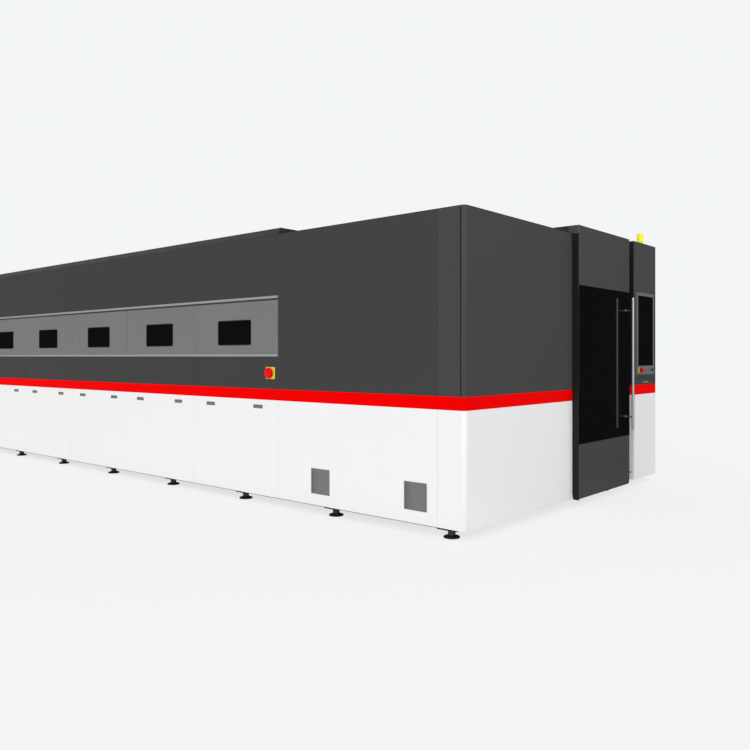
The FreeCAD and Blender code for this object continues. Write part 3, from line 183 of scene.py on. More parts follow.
# door and console
LEAF_CORNER_R = 30.0
# the painted shade strip down the door leaf's leading edge
LEAF_SHADE_STRIP = 1.2
SHADE_STRIP_CLEARANCE = 0.8  # from the leaf's painted shade strip to the end cover that it slides along
JAMB_SEAL_T = 13.0  # its middle, back from the end face
JAMB_SEAL_REACH = 18.0
JAMB_SEAL_WIDTH = 28.0
JAMB_SEAL_LAP = 2.0  # over the end cover's edge
JAMB_SEAL_FOOT = 90.0  # above the end cover's bottom
JAMB_SEAL_HEAD = 8.0  # below the end cover's top
# the painted shade strip up the console's side
CONSOLE_SHADE_DEPTH = 56.0
CONSOLE_SHADE_T = 2.0  # where the painted shade strip begins, back from the end face
CONSOLE_SHADE_W = 1.2
CONSOLE_SHADE_LIFT = 4.0
CONSOLE_SHADE_SHORT = 10.0  # of the cabinet's height
HANDLE_AXIS = 73.0  # of the bar, out from the door's face
HANDLE_FIXING_INSET = 118.5  # of each standoff from the bar's end
BEZEL_FACE = 8.0
KEY_PITCH = 19.05
KEY_RISE = 13.0  # of the keyboard's top above its base
KEYBOARD_MARGIN = 16.0  # before the front row of keys
DRAWER_PULL_SIZE = (106.0, 17.0)
DRAWER_PULL_RISE = 15.0  # above the drawer's bottom

# stop buttons, whose heads and plate differ a little from the model's
STOP_SHOULDER = 4.0  # left under a stop button's head when it is pressed
STOP_NECK_R = 11.0
STOP_HEAD_GAIN = 3.0  # in radius
CONSOLE_HEAD_REACH = 5.0  # further out
PLATE_GAIN = (2.0, -10.0)  # in width and height
PLATE_R = 10.0
SCREW_INSET = 8.0
LIP_GAP = 0.4  # from a pressed head to the collar under it


def linear(colour):
    """An 8-bit screen colour as a linear one with alpha."""
    channels = [c / 255 for c in colour]
    return [c / 12.92 if c <= 0.04045 else ((c + 0.055) / 1.055) ** 2.4 for c in channels] + [1.0]


# ---- shared shader groups

COAT_OUTPUTS = [("Color", "colour"), ("Roughness", "value")]
RELIEF_OUTPUTS = COAT_OUTPUTS + [("Height", "value")]


def new_group(name, inputs, outputs):
    """An empty shader group with named sockets, and its input and output nodes."""
    group = bpy.data.node_groups.new(name, "ShaderNodeTree")
    kinds = {"colour": "NodeSocketColor", "value": "NodeSocketFloat", "vector": "NodeSocketVector"}
    for label, kind, default in inputs:
        socket = group.interface.new_socket(name=label, in_out="INPUT", socket_type=kinds[kind])
        socket.default_value = default
    for label, kind in outputs:
        group.interface.new_socket(name=label, in_out="OUTPUT", socket_type=kinds[kind])
    return group, group.nodes.new("NodeGroupInput"), group.nodes.new("NodeGroupOutput")


def noise(tree, vector, scale, detail=2.0, roughness=0.5):
    """A noise texture's value at a place."""
    node = tree.nodes.new("ShaderNodeTexNoise")
    node.inputs["Scale"].default_value = scale
    node.inputs["Detail"].default_value = detail
    node.inputs["Roughness"].default_value = roughness
    tree.links.new(vector, node.inputs["Vector"])
    return node.outputs["Fac"]


def spread(tree, value, low, high, start=0.3, end=0.7):
    """A texture's value stretched to a range, whose ends may be numbers or sockets."""
    node = tree.nodes.new("ShaderNodeMapRange")
    node.inputs["From Min"].default_value = start
    node.inputs["From Max"].default_value = end
    tree.links.new(value, node.inputs["Value"])
    for socket, limit in (("To Min", low), ("To Max", high)):
        if isinstance(limit, (int, float)):
            node.inputs[socket].default_value = limit
        else:
            tree.links.new(limit, node.inputs[socket])
    return node.outputs["Result"]


def maths(tree, operation, first, second=0.0):
    """The result of a sum on two numbers or sockets."""
    node = tree.nodes.new("ShaderNodeMath")
    node.operation = operation
    for socket, value in zip(node.inputs, (first, second)):
        if isinstance(value, (int, float)):
            socket.default_value = value
        else:
            tree.links.new(value, socket)
    return node.outputs["Value"]


def blended(tree, factor, first, second):
    """Two colours mixed by a factor."""
    node = tree.nodes.new("ShaderNodeMix")
    node.data_type = "RGBA"
    for socket, value in (("Factor_Float", factor), ("A_Color", first), ("B_Color", second)):
        target = next(i for i in node.inputs if i.identifier == socket)
        if isinstance(value, (int, float, list, tuple)):
            target.default_value = value
        else:
            tree.links.new(value, target)
    return next(o for o in node.outputs if o.identifier == "Result_Color")


def shaded(tree, colour, amount):
    """A colour times one plus an amount, so that an amount below nought darkens it."""
    node = tree.nodes.new("ShaderNodeVectorMath")
    node.operation = "SCALE"
    tree.links.new(colour, node.inputs[0])
    tree.links.new(maths(tree, "ADD", amount, 1.0), node.inputs["Scale"])
    return node.outputs["Vector"]


def sprayed_coat_group():
    """Powder coat: faint patches of tone and gloss, and orange peel."""
    inputs = [
        ("Colour", "colour", (0.5, 0.5, 0.5, 1)),
        ("Tone Spread", "value", 0.03),
        ("Gloss", "value", 0.3),
        ("Gloss Spread", "value", 0.05),
    ]
    group, given, result = new_group("sprayed_coat", inputs, RELIEF_OUTPUTS)
    place = group.nodes.new("ShaderNodeTexCoord").outputs["Object"]
    half = maths(group, "MULTIPLY", given.outputs["Tone Spread"], -1.0)
    tone = spread(group, noise(group, place, 0.9, 3.0), half, given.outputs["Tone Spread"])
    group.links.new(shaded(group, given.outputs["Colour"], tone), result.inputs["Color"])
    patch = spread(group, noise(group, place, 5.0, 4.0), -0.5, 0.5)
    shift = maths(group, "MULTIPLY", patch, given.outputs["Gloss Spread"])
    group.links.new(maths(group, "ADD", given.outputs["Gloss"], shift), result.inputs["Roughness"])
    group.links.new(noise(group, place, 260.0, 1.0), result.inputs["Height"])
    return group


def settled_dust_group():
    """Fine dust on level tops and low down near the floor."""
    inputs = [
        ("Colour", "colour", (0.5, 0.5, 0.5, 1)),
        ("Roughness", "value", 0.3),
        ("Amount", "value", 0.2),
        ("Reach", "value", 0.25),
    ]
    group, given, result = new_group("settled_dust", inputs, COAT_OUTPUTS)
    place = group.nodes.new("ShaderNodeTexCoord").outputs["Object"]
    axes = group.nodes.new("ShaderNodeSeparateXYZ")
    group.links.new(place, axes.inputs[0])
    facing = group.nodes.new("ShaderNodeSeparateXYZ")
    group.links.new(group.nodes.new("ShaderNodeNewGeometry").outputs["Normal"], facing.inputs[0])
    low = group.nodes.new("ShaderNodeMapRange")
    low.inputs["From Max"].default_value = 0.0
    low.inputs["To Max"].default_value = 0.45
    group.links.new(axes.outputs["Z"], low.inputs["Value"])
    group.links.new(given.outputs["Reach"], low.inputs["From Min"])
    top = spread(group, facing.outputs["Z"], 0.0, 1.0, 0.6, 0.95)
    patch = spread(group, noise(group, place, 2.6, 5.0, 0.6), 0.6, 1.0)
    cover = maths(group, "MULTIPLY", maths(group, "MAXIMUM", low.outputs["Result"], top), patch)
    cover = maths(group, "MULTIPLY", cover, given.outputs["Amount"])
    dust = linear((176, 173, 168))
    group.links.new(blended(group, cover, given.outputs["Colour"], dust), result.inputs["Color"])
    matt = maths(group, "MULTIPLY", cover, 0.5)
    group.links.new(maths(group, "ADD", given.outputs["Roughness"], matt), result.inputs["Roughness"])
    return group


def drawn_grain_group():
    """Fine lines along one axis, as on brushed or ground metal."""
    inputs = [
        ("Colour", "colour", (0.5, 0.5, 0.5, 1)),
        ("Along", "vector", (1.0, 1.0, 0.01)),
        ("Gloss", "value", 0.3),
    ]
    group, given, result = new_group("drawn_grain", inputs, RELIEF_OUTPUTS)
    place = group.nodes.new("ShaderNodeTexCoord").outputs["Object"]
    stretch = group.nodes.new("ShaderNodeVectorMath")
    stretch.operation = "MULTIPLY"
    group.links.new(place, stretch.inputs[0])
    group.links.new(given.outputs["Along"], stretch.inputs[1])
    lines = noise(group, stretch.outputs["Vector"], 900.0, 3.0, 0.7)
    tone = spread(group, lines, -0.1, 0.1)
    group.links.new(shaded(group, given.outputs["Colour"], tone), result.inputs["Color"])
    shift = spread(group, lines, -0.05, 0.07)
    group.links.new(maths(group, "ADD", given.outputs["Gloss"], shift), result.inputs["Roughness"])
    group.links.new(lines, result.inputs["Height"])
    return group


def moulded_skin_group():
    """The fine even texture of moulded plastic or rubber."""
    inputs = [
        ("Colour", "colour", (0.5, 0.5, 0.5, 1)),
        ("Gloss", "value", 0.5),
        ("Grain", "value", 900.0),
    ]
    group, given, result = new_group("moulded_skin", inputs, RELIEF_OUTPUTS)
    place = group.nodes.new("ShaderNodeTexCoord").outputs["Object"]
    grain = group.nodes.new("ShaderNodeTexNoise")
    grain.inputs["Detail"].default_value = 1.0
    group.links.new(place, grain.inputs["Vector"])
    group.links.new(given.outputs["Grain"], grain.inputs["Scale"])
    patch = noise(group, place, 14.0, 3.0)
    tone = spread(group, patch, -0.05, 0.05)
    group.links.new(shaded(group, given.outputs["Colour"], tone), result.inputs["Color"])
    shift = spread(group, patch, -0.04, 0.04)
    group.links.new(maths(group, "ADD", given.outputs["Gloss"], shift), result.inputs["Roughness"])
    group.links.new(grain.outputs["Fac"], result.inputs["Height"])
    return group


SPRAYED_COAT = sprayed_coat_group()
SETTLED_DUST = settled_dust_group()
DRAWN_GRAIN = drawn_grain_group()
MOULDED_SKIN = moulded_skin_group()


# ---- materials


def new_material(name):
    """A new material, its tree and its Principled shader."""
    material = bpy.data.materials.new(name)
    material.use_nodes = True
    return material, material.node_tree, material.node_tree.nodes["Principled BSDF"]


def effect(tree, group, **values):
    """One of the shared groups, placed in a material with its own values."""
    node = tree.nodes.new("ShaderNodeGroup")
    node.node_tree = group
    for label, value in values.items():
        node.inputs[label.replace("_", " ")].default_value = value
    return node


def coated(tree, shader, source):
    """A group's colour and roughness, joined to the shader."""
    tree.links.new(source.outputs["Color"], shader.inputs["Base Color"])
    tree.links.new(source.outputs["Roughness"], shader.inputs["Roughness"])


def bump(tree, shader, height, distance=FINE_RELIEF):
    """A relief of some depth in metres, joined to the shader."""
    node = tree.nodes.new("ShaderNodeBump")
    node.inputs["Distance"].default_value = distance
    node.inputs["Strength"].default_value = 1.0
    tree.links.new(height, node.inputs["Height"])
    tree.links.new(node.outputs["Normal"], shader.inputs["Normal"])


def sprayed(name, colour, gloss, tone=0.02, dust=0.1, specular=0.5):
    """A powder-coated sheet."""
    material, tree, shader = new_material(name)
    own = {"Colour": linear(colour), "Tone_Spread": tone, "Gloss": gloss, "Gloss_Spread": gloss * 0.25}
    coat = effect(tree, SPRAYED_COAT, **own)
    dusty = effect(tree, SETTLED_DUST, Amount=dust)
    tree.links.new(coat.outputs["Color"], dusty.inputs["Colour"])
    tree.links.new(coat.outputs["Roughness"], dusty.inputs["Roughness"])
    coated(tree, shader, dusty)
    shader.inputs["Specular IOR Level"].default_value = specular
    bump(tree, shader, coat.outputs["Height"])
    return material


def drawn(name, colour, gloss, along, metallic=1.0):
    """Bare metal with its grain along one axis."""
    material, tree, shader = new_material(name)
    grain = effect(tree, DRAWN_GRAIN, Colour=linear(colour), Along=along, Gloss=gloss)
    coated(tree, shader, grain)
    shader.inputs["Metallic"].default_value = metallic
    bump(tree, shader, grain.outputs["Height"])
    return material


def moulded(name, colour, gloss, grain=900.0, depth=FINE_RELIEF, specular=0.5):
    """Moulded plastic or rubber."""
    material, tree, shader = new_material(name)
    skin = effect(tree, MOULDED_SKIN, Colour=linear(colour), Gloss=gloss, Grain=grain)
    coated(tree, shader, skin)
    shader.inputs["Specular IOR Level"].default_value = specular
    bump(tree, shader, skin.outputs["Height"], depth)
    return material


def dark_glass():
    """Black laser-safe glass: nearly opaque, with a faint smear in its gloss."""
    material, tree, shader = new_material("dark_glass")
    black = linear((13, 13, 14))
    smear = effect(tree, SPRAYED_COAT, Colour=black, Tone_Spread=0.05, Gloss=0.06, Gloss_Spread=0.05)
    coated(tree, shader, smear)
    return material


ALONG_X = (0.01, 1.0, 1.0)
ALONG_Z = (1.0, 1.0, 0.01)
FINISHES = {
    "charcoal_panel": sprayed("charcoal_coat", (64, 64, 64), 0.48, tone=0.01, specular=0.08),
    "white_panel": sprayed("white_coat", (236, 236, 236), 0.42, tone=0.006, specular=0.3),
    "red_stripe": sprayed("red_coat", (236, 0, 0), 0.5, tone=0.006, dust=0.0, specular=0.01),
    "grey_band": sprayed("grey_coat", (119, 119, 119), 0.38),
    "bright_trim": sprayed("bright_trim_coat", (152, 152, 152), 0.3),
    "dark_glass": dark_glass(),
    # painted light: the door's charcoal is lighter than the sides', as the end face gets less light
    "door_paint": sprayed("door_painted_light_coat", (72, 72, 73), 0.42, tone=0.012, specular=0.2),
    "frame_paint": sprayed("frame_coat", (28, 28, 30), 0.5, dust=0.12, specular=0.3),
    "foot_rubber": moulded("foot_rubber", (15, 15, 16), 0.6, 500.0, 0.0001, specular=0.3),
    "pull_plastic": moulded("pull_plastic", (124, 124, 125), 0.5, specular=0.3),
    "vent_mesh": sprayed("vent_coat", (122, 122, 123), 0.5, specular=0.3),
    "stainless": drawn("stainless", (198, 198, 199), 0.3, ALONG_Z, metallic=0.9),
    "bezel": sprayed("bezel_coat", (112, 112, 114), 0.4),
    "screen": dark_glass(),
    "stop_red": moulded("stop_red", (232, 0, 0), 0.35, specular=0.12),
    "stop_yellow": moulded("stop_yellow", (242, 206, 66), 0.45, specular=0.3),
    "beacon_yellow": moulded("beacon_yellow", (250, 238, 6), 0.3, specular=0.25),
    "button_grey": moulded("button_grey", (102, 102, 103), 0.4, specular=0.3),
    "black_plastic": moulded("black_plastic", (26, 26, 27), 0.45),
    "machined_steel": drawn("ground_steel", (168, 168, 170), 0.3, ALONG_X),
    "machine_paint": sprayed("machine_coat", (166, 170, 174), 0.42, dust=0.3),
    "head_alloy": drawn("head_alloy", (178, 178, 182), 0.28, ALONG_Z),
}

# finishes that differ from their slot's own; all but the standoffs' steel are painted light and shade, copies of
# one paint made lighter or darker for how much light falls on them
STANDOFF_STEEL = drawn("standoff_steel", (120, 120, 122), 0.4, ALONG_X)
# painted shade: a darker red for the console's stop, where less light falls than on the side
CONSOLE_STOP_SHADE_RED = moulded("console_stop_painted_shade_red", (196, 8, 12), 0.4, specular=0.1)
# painted shade: a darker charcoal for the roof and the door's hood, whose tops get more light than the sides
ROOF_PAINTED_SHADE_COAT = sprayed("roof_painted_shade_coat", (50, 50, 50), 0.5, tone=0.01, dust=0.06, specular=0.15)
NODE_PAINTED_LIGHT_COATS = {
    # painted light: lighter charcoals for the console and the end cover, which get less light on the end face
    "console_cabinet": sprayed("console_painted_light_coat", (75, 75, 76), 0.42, tone=0.012, specular=0.15),
    "end_cover_upper": sprayed("end_painted_light_coat", (69, 69, 69), 0.48, tone=0.01, specular=0.08),
    "roof_sheets": ROOF_PAINTED_SHADE_COAT,
    "door_hood": ROOF_PAINTED_SHADE_COAT,
}

# nodes whose solids touch, so that a bevel would bridge them
SHARP_NODES = {"red_stripe", "enclosure_frame", "floor_plates", "pallet_frame", "roof_sheets"}
SHARP_NODES |= {"rear_cover_lower", "rear_cover_upper"}


def round_edges(thing, width):
    """A small round, in millimetres, on every sharp edge of an object."""
    bevel = thing.modifiers.new("edge", "BEVEL")
    bevel.width = width * MM
    bevel.segments = 2
    bevel.limit_method = "ANGLE"
    bevel.angle_limit = EDGE_TURN
    bevel.harden_normals = True


def dress_nodes():
    """Every node of the frame gets its finish, and a small round on its edges unless it is a sharp one."""
    for part in frame["record"]["subparts"]:
        node = NODES[part["node"]]
        # painted light and shade: some nodes take a lighter or darker copy of their paint
        coat = NODE_PAINTED_LIGHT_COATS.get(part["node"], FINISHES[part["material_slot"]])
        node.data.materials.clear()
        node.data.materials.append(coat)
        weld = node.modifiers.new("weld", "WELD")
        weld.merge_threshold = WELD_REACH
        if part["node"] not in SHARP_NODES:
            flat = node.modifiers.new("flat", "DECIMATE")
            flat.decimate_type = "DISSOLVE"
            flat.angle_limit = math.radians(0.5)
            round_edges(node, NODE_ROUND)


# ---- forms, in millimetres about their own middle, with z pointing out of what carries them

FACING = {
    "up": Matrix.Identity(4),
    "side": Matrix(((1, 0, 0, 0), (0, 0, -1, 0), (0, 1, 0, 0), (0, 0, 0, 1))),
    "end": Matrix(((0, 0, 1, 0), (1, 0, 0, 0), (0, 1, 0, 0), (0, 0, 0, 1))),
}


def ring(radius, sides=RING_SIDES, flute=0.0):
    """Points of a circle, whose every second one may lie deeper to make flutes."""
    points = []
    for index in range(sides):
        angle = 2 * math.pi * index / sides
        reach = radius - flute * (index % 2)
        points.append((reach * math.cos(angle), reach * math.sin(angle)))
    return points


def round_box(width, height, radius, steps=4):
    """Points of a rectangle with round corners."""
    points = []
    for quarter, (right, top) in enumerate(((1, 1), (-1, 1), (-1, -1), (1, -1))):
        for step in range(steps + 1):
            angle = math.radians(90) * (quarter + step / steps)
            across = right * (width / 2 - radius) + radius * math.cos(angle)
            points.append((across, top * (height / 2 - radius) + radius * math.sin(angle)))
    return points


def lofted(sections, loop=False):
    """A form through outlines of as many points each, at their heights: a solid, or a ring if a loop."""
    form = bmesh.new()
    rings = [[form.verts.new((x, y, height)) for x, y in outline] for outline, height in sections]
    pairs = list(zip(rings, rings[1:]))
    if loop:
        pairs.append((rings[-1], rings[0]))
    else:
        form.faces.new(rings[0])
        form.faces.new(rings[-1])
    for lower, upper in pairs:
        for index in range(len(lower)):
            after = (index + 1) % len(lower)
            form.faces.new((lower[index], lower[after], upper[after], upper[index]))
    return form


def turned(profile, sides=RING_SIDES, loop=False):
    """A profile of radii and heights, turned."""
    return lofted([(ring(radius, sides), height) for radius, height in profile], loop)


def slab(width, height, radius, low, high):
    """A rectangle with round corners, drawn up from one height to another."""
    return lofted([(round_box(width, height, radius), low), (round_box(width, height, radius), high)])


def stepped(width, height, steps, corner_steps=4):
    """Sections of a form with round corners, from steps of inset, corner radius and height."""
    sections = []
    for inset, radius, rise in steps:
        sections.append((round_box(width - inset, height - inset, radius, corner_steps), rise))
    return sections


def placed(form, facing, t, s, z):
    """A form put at its place in the frame, facing up, out of the long side or out of the end."""
    form.transform(Matrix.Translation(at(t, s, z)) @ FACING[facing] @ Matrix.Scale(MM, 4))
    return form


def piece(name, forms, slot, body, replaces=(), edge=PIECE_ROUND, sheet=0.0, finish=None):
    """Placed forms joined into one object of a slot's finish, which rides on a body."""
    whole = bmesh.new()
    mesh = bpy.data.meshes.new(name)
    for form in forms:
        bmesh.ops.recalc_face_normals(form, faces=form.faces)
        form.to_mesh(mesh)
        form.free()
        whole.from_mesh(mesh)
    whole.to_mesh(mesh)
    whole.free()
    mesh.shade_smooth()
    mesh.set_sharp_from_angle(angle=SMOOTH_UP_TO)
    mesh.materials.append(finish or FINISHES[slot])
    made = bpy.data.objects.new(name, mesh)
    bpy.context.scene.collection.objects.link(made)
    if sheet:
        thick = made.modifiers.new("sheet", "SOLIDIFY")
        thick.thickness = sheet * MM
    if edge:
        round_edges(made, edge)
    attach(made, body)
    if replaces:
        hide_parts(*replaces)


# ---- feet, vents, finger pulls, windows and seams


def levelling_feet():
    """Moulded pads with a ribbed rim, and their sleeves with a hexagon nut under the bracket."""
    pads, sleeves, nuts = [], [], []
    for t, s, z in solid_extents("levelling_feet"):
        rim = (t[1] - t[0]) / 2
        top = z[1]
        rows = [(rim - 6, 0.0, 0), (rim - 1, 1.5, 0), (rim, 4.0, 0.9), (rim, 9.0, 0.9), (rim - 1.5, 11.5, 0)]
        rows += [(rim - 6, 14.0, 0), (rim - 15, 16.0, 0), (36.0, 18.0, 0), (30.5, 21.0, 0), (29.0, 25.0, 0)]
        pad = lofted([(ring(radius, 96, flute), height) for radius, height, flute in rows])
        pads.append(placed(pad, "up", middle(t), middle(s), 0))
        sleeve = turned([(27.0, 20.0), (27.0, 34.0), (25.5, 36.0), (25.5, top - 10)])
        sleeves.append(placed(sleeve, "up", middle(t), middle(s), 0))
        nut = [(28.0, top - 13), (30.5, top - 11.5), (30.5, top - 1.5), (28.5, top)]
        nuts.append(placed(turned(nut, HEX_SIDES), "up", middle(t), middle(s), 0))
    piece("foot_pads", pads, "foot_rubber", "machine", ["levelling_feet"])
    piece("foot_sleeves", sleeves + nuts, "frame_paint", "machine", ["levelling_feet"])


def louvre_sheet(width, height, rows, reach, taper):
    """A sheet pressed into rows of louvres, whose mouths open downwards."""
    form = bmesh.new()
    pitch = height / rows
    strip = 0.2 * pitch
    right = width / 2
    for row in range(rows):
        head = height / 2 - row * pitch
        brow = head - strip
        mouth = head - pitch
        spots = [(-right, head, 0), (right, head, 0), (right, brow, 0), (-right, brow, 0)]
        spots += [(right - taper, mouth, reach), (taper - right, mouth, reach)]
        spots += [(right, mouth, 0), (-right, mouth, 0)]
        a, b, c, d, e, f, g, h = [form.verts.new(spot) for spot in spots]
        for corners in ((d, c, b, a), (f, e, c, d), (e, g, c), (f, d, h)):
            form.faces.new(corners)
    return form


def vent_grilles():
    """Raised frames round rows of pressed louvres, before a dark filter."""
    borders, louvres, filters = [], [], []
    for t, s, z in solid_extents("vent_grilles"):
        width, height = t[1] - t[0], z[1] - z[0]
        outer = round_box(width, height, 4)
        crown = round_box(width - 2.4, height - 2.4, 3)
        inset = 2 * VENT_BORDER
        inner = round_box(width - inset, height - inset, 2)
        border = lofted([(outer, -1.0), (outer, 1.2), (crown, 2.0), (inner, 2.0), (inner, -1.5)], loop=True)
        borders.append(placed(border, "side", middle(t), 0, middle(z)))
        inset = 2 * (VENT_BORDER - VENT_LAP)
        rows = louvre_sheet(width - inset, height - inset, LOUVRE_ROWS, LOUVRE_REACH, LOUVRE_TAPER)
        louvres.append(placed(rows, "side", middle(t), 1.0, middle(z)))
        inset = 2 * (VENT_BORDER + VENT_LAP)
        back = slab(width - inset, height - inset, 2, -s[1], -s[1] + 1.5)
        filters.append(placed(back, "side", middle(t), 0, middle(z)))
    piece("vent_borders", borders, "vent_mesh", "machine", ["vent_grilles"])
    piece("vent_louvres", louvres, "vent_mesh", "machine", ["vent_grilles"], edge=0.0, sheet=LOUVRE_SHEET)
    piece("vent_filters", filters, "black_plastic", "machine", ["vent_grilles"])


def cover_pulls():
    """Flush cups with a thin flange, and a lip inside the top for the fingers."""
    cups = []
    for t, s, z in solid_extents("cover_pulls"):
        width, height, depth = t[1] - t[0], z[1] - z[0], s[1]
        steps = [(7, 4, -depth), (7, 4, -0.3), (0, 3, -0.3), (0, 3, 0.4), (0.7, 2.7, 1.0), (5.0, 2.0, 1.0)]
        steps += [(6.0, 2.0, 0.2), (8.0, 2.0, -7.0), (14.0, 2.0, -9.0)]
        cups.append(placed(lofted(stepped(width, height, steps)), "side", middle(t), 0, middle(z)))
        lip = slab(width - 8, 3.0, 1.2, -6.0, -0.4)
        cups.append(placed(lip, "side", middle(t), 0, z[1] - 4.6))
    piece("finger_cups", cups, "pull_plastic", "machine", ["cover_pulls"])


def window_gaskets():
    """A rubber lip between each pane and its panel."""
    face = extent("window_panels")[1][0]
    lips = []
    for t, s, z in solid_extents("window_panes"):
        width, height = t[1] - t[0] - 2 * WINDOW_LAP, z[1] - z[0] - 2 * WINDOW_LAP
        steps = [(0, face - s[0]), (0, 0.3), (1.2, 0.9), (4.0, 0.3), (6.0, face - s[0])]
        sections = [(round_box(width - 2 * i, height - 2 * i, WINDOW_R - i), level) for i, level in steps]
        lips.append(placed(lofted(sections, loop=True), "side", middle(t), face, middle(z)))
    piece("window_gaskets", lips, "black_plastic", "machine", edge=0.0)


def seam_strips():
    """Soft strips just below the surface that close the upright seams between the covers."""
    band = extent("window_panels")
    runs = [("charcoal_panel", extent(node)[2], 0.0) for node in ("waist_panels", "upper_panels")]
    runs += [("grey_band", band[2], band[1][0]), ("white_panel", extent("lower_cover_1")[2], 0.0)]
    places = {"charcoal_panel": [], "grey_band": [], "white_panel": []}
    for slot, z, face in runs:
        for seam in MODULE_SEAMS:
            places[slot].append((seam, z, face))
    for slot, node in (("charcoal_panel", "end_cover_upper"), ("white_panel", "end_cover_lower")):
        places[slot].append((END_COVER_SEAM, extent(node)[2], 0.0))
    for slot, spots in places.items():
        strips = []
        for seam, z, face in spots:
            length = z[1] - z[0] - STRIP_SHORT
            strip = slab(PANEL_SEAM, length, 0.8, -STRIP_BACK, -STRIP_DEPTHS[slot])
            strips.append(placed(strip, "side", seam, face, middle(z)))
        piece("seam_strips_" + slot.split("_")[0], strips, slot, "machine", edge=0.0)


def trim_strips():
    """A strip that fills the gap above the upper trim, and a dark strip under the trim: painted shade, for the
    shadow line there.
    """
    trim_top = extent("band_trims")[2][1]
    panel_bottom = extent("upper_panels")[2][0]
    long_t = (MODULE_SEAMS[0] + PANEL_SEAM / 2, MODULE_SEAMS[-1] - PANEL_SEAM / 2)
    length = long_t[1] - long_t[0]
    filler = slab(length, panel_bottom - trim_top, 0.8, -6.0, -0.6)
    filler = placed(filler, "side", middle(long_t), 0, (panel_bottom + trim_top) / 2)
    piece("upper_gap_filler", [filler], "charcoal_panel", "machine", edge=0.0)
    band_face = extent("window_panels")[1][0]
    # painted shade: a charcoal strip on the grey band, for the trim's shadow line
    seal = slab(length, TRIM_SHADE_STRIP, 0.8, -1.0, 1.0)
    seal = placed(seal, "side", middle(long_t), band_face, trim_top - TRIM_HEIGHT - TRIM_SHADE_STRIP / 2)
    piece("trim_shade_strip", [seal], "charcoal_panel", "machine", edge=0.0)


def cover_seals():
    """The dark lip under the long side's covers."""
    bottom = extent("lower_cover_1")[2][0]
    lip_t = (LIP_START, extent("rear_cover_lower")[0][1] - LIP_START)
    lip = slab(lip_t[1] - lip_t[0], LIP_HEIGHT, 1.0, -LIP_SETBACK - LIP_DEPTH, -LIP_SETBACK)
    lip = placed(lip, "side", middle(lip_t), 0, bottom - LIP_HEIGHT / 2)
    piece("cover_seals", [lip], "foot_rubber", "machine", edge=0.0)


def corner_shade_strip():
    """A slim dark strip up the end cover, beside its round corner: painted shade, for the dark reflection along
    the round.
    """
    z = extent("end_cover_upper")[2]
    joint = slab(CORNER_SHADE_STRIP_W, z[1] - z[0] - CORNER_SHADE_SHORT, 0.6, -1.0, 0.25)
    # painted shade: the dark strip stands for the round corner's dark reflection
    joint = placed(joint, "side", CORNER_R + CORNER_SHADE_SHIFT, 0, middle(z))
    piece("corner_shade_strip", [joint], "foot_rubber", "machine", edge=0.0)


def console_side_shade_strip():
    """A thin dark strip up the console's side, next to the doorway: painted shade on that side."""
    s, z = extent("console_cabinet")[1:]
    seal = slab(CONSOLE_SHADE_DEPTH, CONSOLE_SHADE_W, 0.4, 0.0, z[1] - z[0] - CONSOLE_SHADE_SHORT)
    spot = (CONSOLE_SHADE_T + CONSOLE_SHADE_DEPTH / 2, s[0] - CONSOLE_SHADE_W / 2, z[0] + CONSOLE_SHADE_LIFT)
    # painted shade: a dark strip over the console's side face
    piece("console_side_shade_strip", [placed(seal, "up", *spot)], "foot_rubber", "machine", edge=0.0)


# ---- buttons, switches and the console


def stop_head(radius, neck, back, under, top):
    """A mushroom head with a rolled rim and a low crown, on its neck."""
    rise = top - under
    crown = [(1.0, 0.42), (0.975, 0.58), (0.91, 0.74), (0.8, 0.86), (0.62, 0.945), (0.4, 0.985), (0.15, 1.0)]
    profile = [(neck, back), (neck, under), (radius * 0.8, under), (radius * 0.94, under + 0.06 * rise)]
    profile += [(radius, under + 0.2 * rise)]
    profile += [(radius * share, under + rise * level) for share, level in crown]
    return turned(profile)


def side_stop():
    """The long side's stop button: collar and screws on the plate, and the head that is struck."""
    t, s, z = extent("side_stop_button")
    plate_t, plate_s, plate_z = extent("side_stop_plate")
    face = -plate_s[0]
    travel = frame_travel("side_stop_push")
    under = face + STOP_SHOULDER + travel
    head = stop_head((t[1] - t[0]) / 2 + STOP_HEAD_GAIN, STOP_NECK_R, -s[1], under, -s[0])
    head = placed(head, "side", middle(t), 0, middle(z))
    piece("side_stop_head", [head], "stop_red", "side_stop", ["side_stop_button"])
    lip = under - travel - LIP_GAP
    steps = [(34.0, face), (34.0, lip - 1.5), (32.5, lip), (14.0, lip), (12.0, face)]
    collar = placed(turned(steps, loop=True), "side", middle(t), 0, middle(z))
    piece("side_stop_collar", [collar], "black_plastic", "machine", edge=0.0)
    width = plate_t[1] - plate_t[0] + PLATE_GAIN[0]
    height = plate_z[1] - plate_z[0] + PLATE_GAIN[1]
    steps = [(0.0, 0.0), (0.0, face - 0.8), (1.6, face)]
    plate = lofted([(round_box(width - i, height - i, PLATE_R), level) for i, level in steps])
    plate = placed(plate, "side", middle(plate_t), 0, middle(plate_z))
    piece("stop_backing_plate", [plate], "stop_yellow", "machine", ["side_stop_plate"], edge=0.0)
    reach = height / 2 - SCREW_INSET
    screws = []
    for right in (-reach, reach):
        for up in (-reach, reach):
            screws.append(placed(pan_screw(3.6, face), "side", middle(t) + right, 0, middle(z) + up))
    piece("side_stop_screws", screws, "machined_steel", "machine", edge=0.0)


def pan_screw(radius, face):
    """A low round head with a hexagon socket."""
    dome = [(radius, face), (radius, face + 0.8), (radius * 0.85, face + 1.7), (radius * 0.55, face + 2.1)]
    socket = [(radius * 0.5, face + 2.1), (radius * 0.5, face + 0.6)]
    sections = [(ring(r, 24), level) for r, level in dome]
    return lofted(sections + [(ring(r, 24), level) for r, level in socket])


